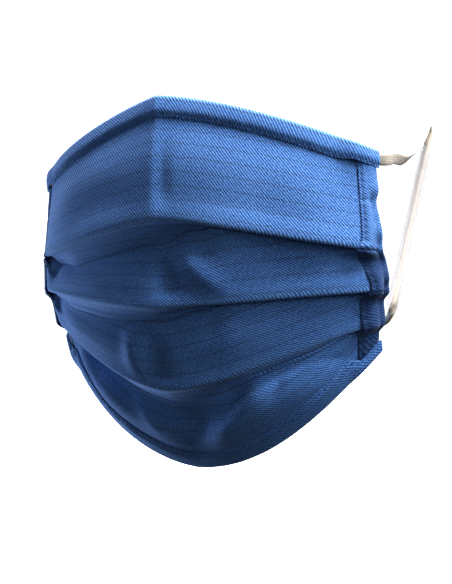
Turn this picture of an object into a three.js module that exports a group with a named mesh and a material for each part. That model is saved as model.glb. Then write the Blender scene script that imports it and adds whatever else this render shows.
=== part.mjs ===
import * as THREE from "three";

// Cloth face mask with three pleats, worn open. Millimetres, +Z up, the wearer looks along -Y.
// The origin is the point on the inside of the top band that rests on the bridge of the nose.
// Right means +X. Outward means away from the face, inward means towards it.

// Sizes of the whole mask
const HALF_WIDTH = 78;
const FACE_DEPTH = 38;
const MASK_HEIGHT = 148;
const LINE_LENGTH = 88;
const SLOW_TURN = THREE.MathUtils.degToRad(26);
const END_TURN = THREE.MathUtils.degToRad(28);

// Cloth
const WALL = 1.2;
const LAYER_PITCH = 1.6;
const PLEAT_DEPTH = 15;
const CLEARANCE = 0.3;
const BINDING_WALL = 1.0;

// Bands along the top and bottom edges
const TOP_BAND_WIDTH = 8.5;
const TOP_BAND_END_WIDTH = 7;
const BOTTOM_BAND_WIDTH = 7.5;
const BOTTOM_BAND_END_WIDTH = 5.4;
const BAND_CAP = 1.3;

// Side channels and what runs in them
const CHANNEL_WIDTH = 8.4;
const BODY_EDGE_IN_CHANNEL = 6.1;
const TUNNEL_CENTRE = 2.7;
const TUNNEL_HALF_GAP = 1.2;
const CHANNEL_TOP = 5.8;

// Ear loops and sleeves
const ELASTIC_WIDE = 4.4;
const ELASTIC_THICK = 1.3;
const ELASTIC_IN_TUNNEL = 2.2;
const SLEEVE_DIAMETER = 5.0;
const SLEEVE_WALL = 0.55;

// Mesh fineness
const COLUMNS = 36;
const BAND_COLUMNS = 38;
const SLEEVE_SIDES = 12;
const SLEEVE_RINGS = 8;

const BLUE = new THREE.Color("rgb(70, 116, 178)");
const BINDING_BLUE = new THREE.Color("rgb(64, 106, 166)");
const CREAM = new THREE.Color("rgb(238, 226, 204)");
const SMOKE = new THREE.Color("rgb(214, 214, 208)");

// Key lines of the worn mask. out is a share of HALF_WIDTH, forward a share of FACE_DEPTH in
// front of the side corners, down a share of MASK_HEIGHT below the middle of the top edge.
const KEY_POINTS = [
  { line: "topEdge", at: "centre", out: 0, forward: 0.75, down: 0 },
  { line: "topEdge", at: "nearCentre", out: 0.32, forward: 0.55, down: 0.015 },
  { line: "topEdge", at: "nearSide", out: 0.8, forward: 0.56, down: 0.115 },
  { line: "topEdge", at: "right", out: 0.965, forward: 0, down: 0.159 },
  { line: "topEdge", at: "left", out: 0.94, forward: 0, down: 0.161 },
  { line: "firstFold", at: "centre", out: 0, forward: 0.89, down: 0.318 },
  { line: "firstFold", at: "nearCentre", out: 0.35, forward: 0.83, down: 0.33 },
  { line: "firstFold", at: "nearSide", out: 0.83, forward: 0.56, down: 0.4 },
  { line: "firstFold", at: "right", out: 1.006, forward: 0.03, down: 0.398 },
  { line: "firstFold", at: "left", out: 1.01, forward: 0.03, down: 0.398 },
  { line: "secondFold", at: "centre", out: 0, forward: 0.83, down: 0.544 },
  { line: "secondFold", at: "nearCentre", out: 0.35, forward: 0.8, down: 0.536 },
  { line: "secondFold", at: "nearSide", out: 0.82, forward: 0.44, down: 0.503 },
  { line: "secondFold", at: "right", out: 1.056, forward: -0.13, down: 0.497 },
  { line: "secondFold", at: "left", out: 1.06, forward: -0.14, down: 0.497 },
  { line: "thirdFold", at: "centre", out: 0, forward: 0.65, down: 0.76 },
  { line: "thirdFold", at: "nearCentre", out: 0.35, forward: 0.62, down: 0.75 },
  { line: "thirdFold", at: "nearSide", out: 0.8, forward: 0.27, down: 0.6 },
  { line: "thirdFold", at: "right", out: 1.006, forward: -0.26, down: 0.578 },
  { line: "thirdFold", at: "left", out: 1.035, forward: -0.26, down: 0.592 },
  { line: "bottomEdge", at: "centre", out: 0, forward: -0.1, down: 0.996 },
  { line: "bottomEdge", at: "nearCentre", out: 0.37, forward: -0.06, down: 0.985 },
  { line: "bottomEdge", at: "nearSide", out: 0.69, forward: 0.02, down: 0.84 },
  { line: "bottomEdge", at: "right", out: 0.93, forward: -0.35, down: 0.66 },
  { line: "bottomEdge", at: "left", out: 0.945, forward: -0.35, down: 0.667 },
];

// How far each pleat still overlaps across the mask, as a share of PLEAT_DEPTH. Below zero the
// pleat has been pulled open, and gape is then how far in its valley lies, in the same shares.
// across runs from the left side (-1) to the right side (1).
const PLEAT_OVERLAP = [
  { across: -1, first: 1, second: 0.9, third: 0.74 },
  { across: -0.92, first: 0.8, second: 0.8, third: 0.7 },
  { across: -0.8, first: -0.35, second: -0.2, third: -0.1 },
  { across: -0.55, first: -0.65, second: -0.45, third: -0.4 },
  { across: -0.3, first: -0.7, second: -0.5, third: -0.45 },
  { across: 0, first: -0.68, second: -0.42, third: -0.4 },
  { across: 0.2, first: -0.2, second: -0.15, third: -0.4 },
  { across: 0.4, first: 0.35, second: 0.35, third: -0.25 },
  { across: 0.65, first: 0.75, second: 0.7, third: 0.3 },
  { across: 0.92, first: 1, second: 0.9, third: 0.74 },
  { across: 1, first: 1, second: 0.9, third: 0.74 },
];
const PLEAT_GAPE = [
  { across: -1, first: 0.5, second: 0.45, third: 0.6 },
  { across: -0.5, first: 0.55, second: 0.5, third: 0.8 },
  { across: 0, first: 0.55, second: 0.5, third: 0.85 },
  { across: 0.5, first: 0.5, second: 0.45, third: 0.7 },
  { across: 1, first: 0.5, second: 0.45, third: 0.5 },
];

// Outward swell of each panel at its middle, in millimetres at the centre of the mask
const PANEL_SWELL = [
  { panel: 1, swell: 1.6 },
  { panel: 2, swell: 1.2 },
  { panel: 3, swell: 1.4 },
  { panel: 4, swell: 4 },
];

// Dents and soft ridges. across and down place the middle on the panel, halfAcross and halfDown
// are its reach in the same shares, inward is its depth in millimetres (negative is a ridge) and
// lean is how far its long axis moves across on the way down.
const DENTS = [
  { panel: 1, across: 0.05, down: 0.75, halfAcross: 0.045, halfDown: 0.4, inward: 1.0, lean: 0 },
  { panel: 2, across: 0.06, down: 0.6, halfAcross: 0.075, halfDown: 0.5, inward: 2.4, lean: 0.1 },
  { panel: 2, across: 0.21, down: 0.55, halfAcross: 0.075, halfDown: 0.55, inward: -1.7, lean: 0.25 },
  { panel: 3, across: -0.03, down: 0.6, halfAcross: 0.07, halfDown: 0.42, inward: 2.6, lean: 0 },
  { panel: 3, across: -0.15, down: 0.45, halfAcross: 0.06, halfDown: 0.45, inward: -1.7, lean: 0 },
  { panel: 4, across: 0.06, down: 0.4, halfAcross: 0.12, halfDown: 0.45, inward: 2.6, lean: 0 },
  { panel: 4, across: 0.32, down: 0.35, halfAcross: 0.1, halfDown: 0.35, inward: -2.4, lean: -0.5 },
  { panel: 4, across: -0.45, down: 0.5, halfAcross: 0.2, halfDown: 0.5, inward: -1.4, lean: 0 },
];

// Rows down a side channel. A row sits on one panel, below the fold above it or above its own
// fold, and behind counts the pleat steps hidden behind that panel there. On the last row the
// front of the strip reaches into the band, and its back ends backBelow the fold above.
const CHANNEL_ROWS = [
  { panel: 1, below: CHANNEL_TOP, behind: 0 },
  { panel: 1, below: 11, behind: 0 },
  { panel: 1, above: 20.5, behind: 0 },
  { panel: 1, above: 16.8, behind: 1 },
  { panel: 1, above: 10.5, behind: 1 },
  { panel: 1, above: 5, behind: 1 },
  { panel: 1, above: 1.3, behind: 2 },
  { panel: 1, above: -1.2, behind: 2 },
  { panel: 2, below: 4.6, behind: 1 },
  { panel: 2, above: 4, behind: 1 },
  { panel: 2, above: 0.9, behind: 2 },
  { panel: 2, above: -0.9, behind: 2 },
  { panel: 3, below: 4.2, behind: 1 },
  { panel: 3, above: 3, behind: 1 },
  { panel: 3, above: -0.9, behind: 1 },
  { panel: 4, below: 4.2, behind: 0 },
  { panel: 4, below: 4.9, behind: 0 },
  { panel: 4, above: 3.9, backBelow: 5.2, behind: 0 },
];

// Free part of an ear loop, from the end of the top band round the ear gap and back. Sideways,
// back and down are millimetres from the origin; turn is the lean of its flat side in degrees.
const LOOP_ROUTE = [
  { name: "leaves the band", out: 79.5, back: 28.5, down: 26.6, turn: 0, wide: 1, thick: 1 },
  { name: "dips", out: 80.5, back: 34, down: 26.8, turn: 10, wide: 1, thick: 1 },
  { name: "turns edge on", out: 80.2, back: 50, down: 26, turn: 60, wide: 0.9, thick: 1 },
  { name: "climbs", out: 80, back: 66, down: 20, turn: 80, wide: 0.85, thick: 1 },
  { name: "near the tip", out: 80, back: 80, down: 9.5, turn: 85, wide: 0.8, thick: 1.1 },
  { name: "tip", out: 80, back: 87, down: 4.2, turn: 88, wide: 0.75, thick: 1.2 },
  { name: "over the tip", out: 80, back: 88.5, down: 6.5, turn: 88, wide: 0.7, thick: 1.3 },
  { name: "sleeve mouth", out: 80, back: 86, down: 12.5, turn: 60, wide: 0.66, thick: 1.46 },
  { name: "in the sleeve", out: 79.7, back: 74.7, down: 28.8, turn: 45, wide: 0.66, thick: 1.46 },
  { name: "sleeve middle", out: 79.3, back: 61.9, down: 47.6, turn: 30, wide: 0.66, thick: 1.46 },
  { name: "lower sleeve", out: 78.9, back: 49.4, down: 66, turn: 15, wide: 0.66, thick: 1.46 },
  { name: "sleeve end", out: 78.5, back: 38.4, down: 82.6, turn: 0, wide: 0.66, thick: 1.46 },
  { name: "passes behind", out: 75, back: 41, down: 86.4, turn: 0, wide: 0.6, thick: 1.1 },
];
const SLEEVE_TOP = { out: 80, back: 84.5, down: 14.5 };
const SLEEVE_BOTTOM = { out: 78.55, back: 39.3, down: 80.8 };

const LINE_NAMES = ["topEdge", "firstFold", "secondFold", "thirdFold", "bottomEdge"];
const PLEAT_NAMES = ["first", "second", "third"];

// The seat on the nose is half a bound edge behind the middle of the top edge
const SEAT_BACK = 0.75 * FACE_DEPTH - (WALL / 2 + CLEARANCE + BINDING_WALL);

function place(side, key) {
  return new THREE.Vector3(
    side * HALF_WIDTH * key.out,
    SEAT_BACK - FACE_DEPTH * key.forward,
    -MASK_HEIGHT * key.down,
  );
}

function keyPoint(line, at) {
  return KEY_POINTS.find((key) => key.line === line && key.at === at);
}

function halfLine(line, side) {
  const end = side > 0 ? "right" : "left";
  const stops = ["centre", "nearCentre", "nearSide", end];
  const points = stops.map((at) => place(side, keyPoint(line, at)));
  return new THREE.CubicBezierCurve3(...points);
}

const HALF_LINES = new Map(
  LINE_NAMES.map((line) => [line, { right: halfLine(line, 1), left: halfLine(line, -1) }]),
);

function lineAt(index, across) {
  const halves = HALF_LINES.get(LINE_NAMES[index]);
  const half = across < 0 ? halves.left : halves.right;
  return half.getPointAt(Math.min(Math.abs(across), 1));
}

function inwardAt(across) {
  const ends = Math.sign(across) * smooth(Math.abs(across), 0.6, 1);
  const angle = SLOW_TURN * across + END_TURN * ends;
  return new THREE.Vector3(-Math.sin(angle), Math.cos(angle), 0);
}

function smooth(value, low, high) {
  return THREE.MathUtils.smoothstep(value, low, high);
}

function fromTable(table, column, across) {
  const next = Math.max(1, table.findIndex((row) => row.across >= across));
  const before = table[next - 1];
  const after = table[next];
  const share = smooth(across, before.across, after.across);
  return THREE.MathUtils.lerp(before[column], after[column], share);
}

function stepAlong(from, ...moves) {
  const point = from.clone();
  for (const [direction, distance] of moves) point.addScaledVector(direction, distance);
  return point;
}

// Swell and dents of a panel, as an outward distance
function relief(panel, across, down) {
  const row = PANEL_SWELL.find((entry) => entry.panel === panel);
  const fade = 1 - smooth(Math.abs(across), 0.55, 0.9);
  const hump = Math.sin(Math.PI * THREE.MathUtils.clamp(down, 0, 1)) ** 2;
  let outward = row.swell * fade * hump;
  for (const dent of DENTS.filter((entry) => entry.panel === panel)) {
    const middle = dent.across + dent.lean * (down - dent.down);
    const sideways = (across - middle) / dent.halfAcross;
    const along = (down - dent.down) / dent.halfDown;
    const reach = Math.exp(-1.4 * (sideways ** 2 + along ** 2));
    outward -= dent.inward * reach * fade * Math.min(1, hump * 3);
  }
  return outward;
}

// The fold at the lower end of a panel and the inner fold behind it. Three points go round the
// outer fold and three round the inner one.
function pleatAt(index, across, panelStart) {
  const inward = inwardAt(across);
  const edge = lineAt(index, across);
  const upward = panelStart.clone().sub(edge).normalize();
  const overlap = PLEAT_DEPTH * fromTable(PLEAT_OVERLAP, PLEAT_NAMES[index - 1], across);
  const closed = smooth(overlap, -8, 4);
  const tight = smooth(overlap, -5, 1);
  const gape = PLEAT_DEPTH * fromTable(PLEAT_GAPE, PLEAT_NAMES[index - 1], across);
  const depth = THREE.MathUtils.lerp(gape, 2 * LAYER_PITCH, closed);
  const turn = LAYER_PITCH / 2;
  const back = stepAlong(edge, [upward, overlap], [inward, depth]);
  const towards = back.clone().sub(edge).normalize();
  const soft = 1 - tight;
  const edgeBack = stepAlong(edge, [inward, LAYER_PITCH * tight], [towards, 1.8 * soft]);
  const edgeTip = edge.clone().lerp(edgeBack, 0.5);
  edgeTip.addScaledVector(upward, -turn * tight - 0.25 * soft);
  const backFront = stepAlong(back, [inward, -LAYER_PITCH * tight], [towards, -1.8 * soft]);
  const backTip = back.clone().lerp(backFront, 0.5);
  backTip.addScaledVector(upward, turn * tight).addScaledVector(inward, 0.3 * soft);
  return { edge, edgeTip, edgeBack, backFront, backTip, back };
}

// Start and end of each panel's cloth at one place across the mask
function sectionAt(across) {
  const panels = [];
  const pleats = [];
  let start = lineAt(0, across);
  for (let index = 1; index <= 3; index += 1) {
    const pleat = pleatAt(index, across, start);
    panels.push({ start, end: pleat.edge });
    pleats.push(pleat);
    start = pleat.back;
  }
  panels.push({ start, end: lineAt(4, across) });
  return { panels, pleats };
}

function panelPoint(section, panel, across, down) {
  const { start, end } = section.panels[panel - 1];
  const point = start.clone().lerp(end, down);
  return point.addScaledVector(inwardAt(across), -relief(panel, across, down));
}

// Inward direction square to a panel's own slope at one place
function panelInward(section, panel, across, down) {
  const above = panelPoint(section, panel, across, down - 0.04);
  const below = panelPoint(section, panel, across, down + 0.04);
  const along = below.sub(above).normalize();
  const inward = inwardAt(across);
  return inward.addScaledVector(along, -inward.dot(along)).normalize();
}

const PANEL_STEPS = [7, 6, 6, 8];

// One line of cloth from the top edge to the bottom edge, through the three pleats
function bodyColumn(across) {
  const section = sectionAt(across);
  const length = (panel) => {
    const { start, end } = section.panels[panel - 1];
    return start.distanceTo(end);
  };
  const column = [];
  const firstShare = (BAND_CAP + CLEARANCE) / length(1);
  const lastShare = 1 - (BAND_CAP + CLEARANCE) / length(4);
  for (let panel = 1; panel <= 4; panel += 1) {
    const steps = PANEL_STEPS[panel - 1];
    const low = panel === 1 ? firstShare : 0;
    const high = panel === 4 ? lastShare : 1;
    const from = panel === 1 ? 0 : 1;
    const to = panel === 4 ? steps : steps - 1;
    for (let step = from; step <= to; step += 1) {
      const down = THREE.MathUtils.lerp(low, high, step / steps);
      column.push(panelPoint(section, panel, across, down));
    }
    if (panel < 4) {
      const pleat = section.pleats[panel - 1];
      const middle = pleat.edgeBack.clone().lerp(pleat.backFront, 0.5);
      column.push(pleat.edge, pleat.edgeTip, pleat.edgeBack, middle);
      column.push(pleat.backFront, pleat.backTip, pleat.back);
    }
  }
  return column;
}

function meanDirection(before, here, after) {
  const direction = new THREE.Vector3();
  if (before) direction.add(here.clone().sub(before).normalize());
  if (after) direction.add(after.clone().sub(here).normalize());
  return direction.normalize();
}

// Cloth of even thickness on both sides of a grid of points, closed round its rim
function clothSolid(grid, wall) {
  const columns = grid.length;
  const rows = grid[0].length;
  const positions = [];
  for (const sign of [-1, 1]) {
    for (let i = 0; i < columns; i += 1) {
      for (let j = 0; j < rows; j += 1) {
        const here = grid[i][j];
        const sideways = meanDirection(grid[i - 1]?.[j], here, grid[i + 1]?.[j]);
        const along = meanDirection(grid[i][j - 1], here, grid[i][j + 1]);
        const normal = sideways.cross(along).normalize();
        positions.push(here.clone().addScaledVector(normal, (sign * wall) / 2));
      }
    }
  }
  const at = (layer, i, j) => layer * columns * rows + i * rows + j;
  const triangles = [];
  const quad = (a, b, c, d) => triangles.push([a, b, c], [a, c, d]);
  for (let i = 0; i < columns - 1; i += 1) {
    for (let j = 0; j < rows - 1; j += 1) {
      quad(at(0, i, j), at(0, i, j + 1), at(0, i + 1, j + 1), at(0, i + 1, j));
      quad(at(1, i, j), at(1, i + 1, j), at(1, i + 1, j + 1), at(1, i, j + 1));
    }
    quad(at(0, i, 0), at(0, i + 1, 0), at(1, i + 1, 0), at(1, i, 0));
    const last = rows - 1;
    quad(at(0, i, last), at(1, i, last), at(1, i + 1, last), at(0, i + 1, last));
  }
  for (let j = 0; j < rows - 1; j += 1) {
    quad(at(0, 0, j), at(1, 0, j), at(1, 0, j + 1), at(0, 0, j + 1));
    const last = columns - 1;
    quad(at(0, last, j), at(0, last, j + 1), at(1, last, j + 1), at(1, last, j));
  }
  return solidGeometry(positions, triangles);
}

// A solid through a row of matching closed outlines. shape is the outline in flat coordinates,
// used to fill both ends.
function sweptSolid(rings, shape) {
  const count = rings[0].length;
  const positions = rings.flat();
  const triangles = [];
  for (let ring = 0; ring < rings.length - 1; ring += 1) {
    for (let k = 0; k < count; k += 1) {
      const next = (k + 1) % count;
      const a = ring * count + k;
      const b = ring * count + next;
      const c = a + count;
      const d = b + count;
      triangles.push([a, b, d], [a, d, c]);
    }
  }
  const faces = THREE.ShapeUtils.triangulateShape(shape, []);
  const area = THREE.ShapeUtils.area(shape);
  const last = (rings.length - 1) * count;
  for (const [a, b, c] of faces) {
    const ahead = area > 0 ? [a, c, b] : [a, b, c];
    triangles.push(ahead);
    triangles.push([ahead[0] + last, ahead[2] + last, ahead[1] + last]);
  }
  return solidGeometry(positions, triangles);
}

// Indexed geometry whose faces point out, whichever way round the triangles were listed
function solidGeometry(positions, triangles) {
  let volume = 0;
  for (const [a, b, c] of triangles) {
    volume += positions[a].dot(positions[b].clone().cross(positions[c]));
  }
  const ordered = volume > 0 ? triangles : triangles.map(([a, b, c]) => [a, c, b]);
  const geometry = new THREE.BufferGeometry();
  const numbers = positions.flatMap((point) => point.toArray());
  geometry.setAttribute("position", new THREE.Float32BufferAttribute(numbers, 3));
  geometry.setIndex(ordered.flat());
  geometry.computeVertexNormals();
  return geometry;
}

function spread(count, low, high) {
  return Array.from({ length: count }, (_, i) => low + ((high - low) * i) / (count - 1));
}

function buildBody() {
  const edge = 1 - BODY_EDGE_IN_CHANNEL / LINE_LENGTH;
  const grid = spread(COLUMNS, -edge, edge).map(bodyColumn);
  return clothSolid(grid, WALL);
}

// Outline of a folded band in flat coordinates: x is inward, y is the distance from the edge.
// It flares near the ends, where it also goes round the channel.
function bandOutline(halfGap, outerWidth, innerWidth) {
  const half = halfGap + BINDING_WALL;
  const outer = [
    [-half, outerWidth],
    [-half, BAND_CAP],
    [-half * 0.62, 0.32],
    [0, 0],
    [half * 0.62, 0.32],
    [half, BAND_CAP],
    [half, innerWidth],
  ];
  const inner = [
    [halfGap, innerWidth],
    [halfGap, BAND_CAP + 0.1],
    [0, BINDING_WALL],
    [-halfGap, BAND_CAP + 0.1],
    [-halfGap, outerWidth],
  ];
  return [...outer, ...inner].map(([x, y]) => new THREE.Vector2(x, y));
}

// How square the bottom edge is to the panel's cloth, so that the band keeps its width there
function edgeSlant(across, down) {
  const before = lineAt(4, across - 0.02);
  const after = lineAt(4, across + 0.02);
  const along = after.sub(before).normalize();
  return Math.max(0.68, along.cross(down).length());
}

function buildBand(atTop) {
  const panel = atTop ? 1 : 4;
  const middleWidth = atTop ? TOP_BAND_WIDTH : BOTTOM_BAND_WIDTH;
  const endWidth = atTop ? TOP_BAND_END_WIDTH : BOTTOM_BAND_END_WIDTH;
  const bodyGap = WALL / 2 + CLEARANCE;
  const channelGap = bodyGap + BINDING_WALL + 1.5 * CLEARANCE;
  let shape = null;
  const stations = spread(BAND_COLUMNS, -1, 1);
  const rings = stations.map((across) => {
    const section = sectionAt(across);
    const { start, end } = section.panels[panel - 1];
    const length = start.distanceTo(end);
    const nearEnd = smooth(Math.abs(across), 0.8, 0.9);
    const halfGap = THREE.MathUtils.lerp(bodyGap, channelGap, nearEnd);
    const slant = atTop ? 1 : edgeSlant(across, end.clone().sub(start).normalize());
    const width = THREE.MathUtils.lerp(middleWidth / slant, endWidth, nearEnd);
    const innerWidth = atTop ? width - 1 : THREE.MathUtils.lerp(width - 1, 2.6, nearEnd);
    const outline = bandOutline(halfGap, width, innerWidth);
    if (shape === null) shape = outline;
    return outline.map(({ x, y }) => {
      const down = atTop ? y / length : 1 - y / length;
      const point = panelPoint(section, panel, across, down);
      return point.addScaledVector(panelInward(section, panel, across, down), x);
    });
  });
  return sweptSolid(rings, shape);
}

// Share of the way down a panel at a given level
function shareAtLevel(section, panel, level) {
  const { start, end } = section.panels[panel - 1];
  return (start.z - level) / (start.z - end.z);
}

// Level of a channel row at one place across the mask, for the front or the back of the strip
function rowLevel(section, row, inward) {
  const { start, end } = section.panels[row.panel - 1];
  const upperFold = row.panel === 1 ? start : section.panels[row.panel - 2].end;
  const level = row.below === undefined ? end.z + row.above : upperFold.z - row.below;
  if (row.backBelow === undefined) return level;
  const share = smooth(inward, -TUNNEL_HALF_GAP, TUNNEL_HALF_GAP);
  return THREE.MathUtils.lerp(level, upperFold.z - row.backBelow, share);
}

// A point of a channel row. away is the distance from the outer border, layer runs from the
// panel in front (0) to the innermost layer behind it (1), inward is the depth off that layer.
function channelPoint(side, row, away, layer, inward) {
  const across = side * (1 - away / LINE_LENGTH);
  const section = sectionAt(across);
  const level = rowLevel(section, row, inward);
  const hidden = row.panel + row.behind;
  const front = panelPoint(section, row.panel, across, shareAtLevel(section, row.panel, level));
  const back = panelPoint(section, hidden, across, shareAtLevel(section, hidden, level));
  return front.lerp(back, layer).addScaledVector(inwardAt(across), inward);
}

// Outline of a channel: two legs over the layers of cloth, joined round the elastic's tunnel
function channelOutline() {
  const leg = WALL / 2 + CLEARANCE;
  const gap = TUNNEL_HALF_GAP;
  const wall = BINDING_WALL;
  return [
    { away: CHANNEL_WIDTH, layer: 0, inward: -leg - wall },
    { away: 5.5, layer: 0, inward: -leg - wall },
    { away: 3.5, layer: 0.5, inward: -gap - wall },
    { away: 1.2, layer: 0.5, inward: -gap - 0.6 * wall },
    { away: 0, layer: 0.5, inward: 0 },
    { away: 1.2, layer: 0.5, inward: gap + 0.6 * wall },
    { away: 3.3, layer: 0.5, inward: gap + wall },
    { away: 5.2, layer: 1, inward: leg + wall },
    { away: CHANNEL_WIDTH, layer: 1, inward: leg + wall },
    { away: CHANNEL_WIDTH, layer: 1, inward: leg },
    { away: 5.5, layer: 1, inward: leg },
    { away: 3.7, layer: 0.5, inward: gap },
    { away: 1.5, layer: 0.5, inward: 0.85 * gap },
    { away: 1.0, layer: 0.5, inward: 0 },
    { away: 1.5, layer: 0.5, inward: -0.85 * gap },
    { away: 3.7, layer: 0.5, inward: -gap },
    { away: 5.7, layer: 0, inward: -leg },
    { away: CHANNEL_WIDTH, layer: 0, inward: -leg },
  ];
}

function buildChannel(side) {
  const outline = channelOutline();
  const rings = CHANNEL_ROWS.map((row) =>
    outline.map(({ away, layer, inward }) => channelPoint(side, row, away, layer, inward)),
  );
  const shape = outline.map(({ away, inward }) => new THREE.Vector2(away, inward));
  return sweptSolid(rings, shape);
}

// Middle of the tunnel at a channel row, with the direction across the elastic there
function tunnelStop(side, row) {
  const point = channelPoint(side, row, TUNNEL_CENTRE, 0.5, 0);
  const outer = channelPoint(side, row, 0, 0.5, 0);
  const wide = ELASTIC_IN_TUNNEL / ELASTIC_WIDE;
  return { point, across: outer.sub(point).normalize(), wide, thick: 0.66 };
}

function routePoint(side, stop) {
  return new THREE.Vector3(side * stop.out, stop.back, -stop.down);
}

// Every stop of an ear loop, from inside the upper tunnel round the ear gap to the lower tunnel
function loopStops(side) {
  const upperRows = CHANNEL_ROWS.slice(0, 5).reverse();
  const lowerRows = CHANNEL_ROWS.slice(8, 16).reverse();
  const stops = upperRows.map((row) => tunnelStop(side, row));
  const narrow = ELASTIC_IN_TUNNEL / ELASTIC_WIDE;
  const turnRow = { panel: 1, below: 4.0, behind: 0 };
  const exitRow = { panel: 1, below: 3.2, behind: 0 };
  const turned = channelPoint(side, turnRow, 2.2, 0, 0);
  const leaving = channelPoint(side, exitRow, 0.2, 0, 0);
  const slant = new THREE.Vector3(side * 0.6, 0.3, 0.74).normalize();
  const upright = new THREE.Vector3(0, 0, 1);
  stops.push({ point: turned, across: slant, wide: 0.6, thick: 1 });
  stops.push({ point: leaving, across: upright, wide: 0.86, thick: 1 });
  for (const stop of LOOP_ROUTE) {
    const lean = THREE.MathUtils.degToRad(stop.turn);
    const across = new THREE.Vector3(side * Math.sin(lean), 0, Math.cos(lean));
    stops.push({ point: routePoint(side, stop), across, wide: stop.wide, thick: stop.thick });
  }
  const hookRow = { panel: 4, below: 5.6, behind: 0 };
  const riseRow = { panel: 4, below: 3, behind: 0 };
  const sideways = tunnelStop(side, hookRow).across;
  const hook = (row, depth) => {
    const point = channelPoint(side, row, TUNNEL_CENTRE, 0, depth);
    stops.push({ point, across: sideways, wide: narrow, thick: 0.8 });
  };
  hook(riseRow, 5.0);
  hook(hookRow, 4.4);
  hook({ ...hookRow, below: 6.4 }, 2.9);
  hook({ ...hookRow, below: 6.6 }, 1.6);
  hook({ ...hookRow, below: 5.8 }, 0.5);
  for (const row of lowerRows) stops.push(tunnelStop(side, row));
  return stops;
}

function elasticOutline() {
  const corners = [
    [1, 0.45],
    [0.8, 1],
    [-0.8, 1],
    [-1, 0.45],
    [-1, -0.45],
    [-0.8, -1],
    [0.8, -1],
    [1, -0.45],
  ];
  return corners.map(([x, y]) => new THREE.Vector2(x, y));
}

function buildLoop(side) {
  const stops = loopStops(side);
  const outline = elasticOutline();
  const rings = stops.map((stop, index) => {
    const along = meanDirection(stops[index - 1]?.point, stop.point, stops[index + 1]?.point);
    const thin = along.clone().cross(stop.across).normalize();
    const wide = thin.clone().cross(along).normalize();
    const halfWide = (ELASTIC_WIDE * stop.wide) / 2;
    const halfThick = (ELASTIC_THICK * stop.thick) / 2;
    return outline.map(({ x, y }) =>
      stepAlong(stop.point, [wide, x * halfWide], [thin, y * halfThick]),
    );
  });
  return sweptSolid(rings, outline);
}

// A plain tube with square-cut ends, threaded on the elastic
function buildSleeve(side) {
  const top = routePoint(side, SLEEVE_TOP);
  const bottom = routePoint(side, SLEEVE_BOTTOM);
  const along = bottom.clone().sub(top).normalize();
  const first = new THREE.Vector3(side, 0, 0).cross(along).normalize();
  const second = along.clone().cross(first).normalize();
  const radius = SLEEVE_DIAMETER / 2;
  const positions = [];
  for (const ringRadius of [radius, radius - SLEEVE_WALL]) {
    for (const share of spread(SLEEVE_RINGS, 0, 1)) {
      const centre = top.clone().lerp(bottom, share);
      for (let k = 0; k < SLEEVE_SIDES; k += 1) {
        const angle = (2 * Math.PI * k) / SLEEVE_SIDES;
        const cos = ringRadius * Math.cos(angle);
        const sin = ringRadius * Math.sin(angle);
        positions.push(stepAlong(centre, [first, cos], [second, sin]));
      }
    }
  }
  const at = (layer, ring, k) =>
    (layer * SLEEVE_RINGS + ring) * SLEEVE_SIDES + (k % SLEEVE_SIDES);
  const triangles = [];
  const quad = (a, b, c, d) => triangles.push([a, b, c], [a, c, d]);
  const last = SLEEVE_RINGS - 1;
  for (let k = 0; k < SLEEVE_SIDES; k += 1) {
    for (let ring = 0; ring < last; ring += 1) {
      quad(at(0, ring, k), at(0, ring, k + 1), at(0, ring + 1, k + 1), at(0, ring + 1, k));
      quad(at(1, ring, k), at(1, ring + 1, k), at(1, ring + 1, k + 1), at(1, ring, k + 1));
    }
    quad(at(0, 0, k), at(1, 0, k), at(1, 0, k + 1), at(0, 0, k + 1));
    quad(at(0, last, k), at(0, last, k + 1), at(1, last, k + 1), at(1, last, k));
  }
  return solidGeometry(positions, triangles);
}

function piece(name, geometry, colour, roughness) {
  const material = new THREE.MeshStandardMaterial({ color: colour, roughness, metalness: 0 });
  material.name = name;
  const mesh = new THREE.Mesh(geometry, material);
  mesh.name = name;
  return mesh;
}

const mask = new THREE.Group();
mask.name = "cloth_face_mask";
mask.add(piece("pleated_body", buildBody(), BLUE, 0.85));
mask.add(piece("top_band", buildBand(true), BINDING_BLUE, 0.85));
mask.add(piece("bottom_band", buildBand(false), BINDING_BLUE, 0.85));
for (const [word, side] of [["right", 1], ["left", -1]]) {
  mask.add(piece(`side_channel_${word}`, buildChannel(side), BINDING_BLUE, 0.85));
  mask.add(piece(`ear_loop_${word}`, buildLoop(side), CREAM, 0.9));
  mask.add(piece(`ear_sleeve_${word}`, buildSleeve(side), SMOKE, 0.35));
}

export default mask;
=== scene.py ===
import logging
import math
from dataclasses import dataclass, field
from enum import Enum

import bmesh
import bpy
import numpy as np
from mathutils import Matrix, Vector


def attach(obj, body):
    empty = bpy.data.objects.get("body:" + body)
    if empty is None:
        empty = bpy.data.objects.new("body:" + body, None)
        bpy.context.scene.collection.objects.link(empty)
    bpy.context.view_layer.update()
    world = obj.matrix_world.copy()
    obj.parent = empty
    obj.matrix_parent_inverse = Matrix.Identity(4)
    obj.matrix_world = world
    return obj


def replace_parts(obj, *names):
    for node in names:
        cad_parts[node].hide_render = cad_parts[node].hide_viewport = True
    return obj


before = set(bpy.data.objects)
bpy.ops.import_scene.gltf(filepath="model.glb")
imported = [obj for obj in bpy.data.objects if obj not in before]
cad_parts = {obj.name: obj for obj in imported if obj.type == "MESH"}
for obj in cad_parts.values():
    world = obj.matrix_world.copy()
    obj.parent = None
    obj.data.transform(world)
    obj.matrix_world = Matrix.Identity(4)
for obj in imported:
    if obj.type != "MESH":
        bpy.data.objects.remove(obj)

LOG = logging.getLogger("cloth_mask")
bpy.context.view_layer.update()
MM = 0.001
ROOT = "root"
Array = np.ndarray
Colour = tuple[float, float, float, float]
Lines = list[tuple[Array, Array]]
Object = bpy.types.Object
Material = bpy.types.Material
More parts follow.
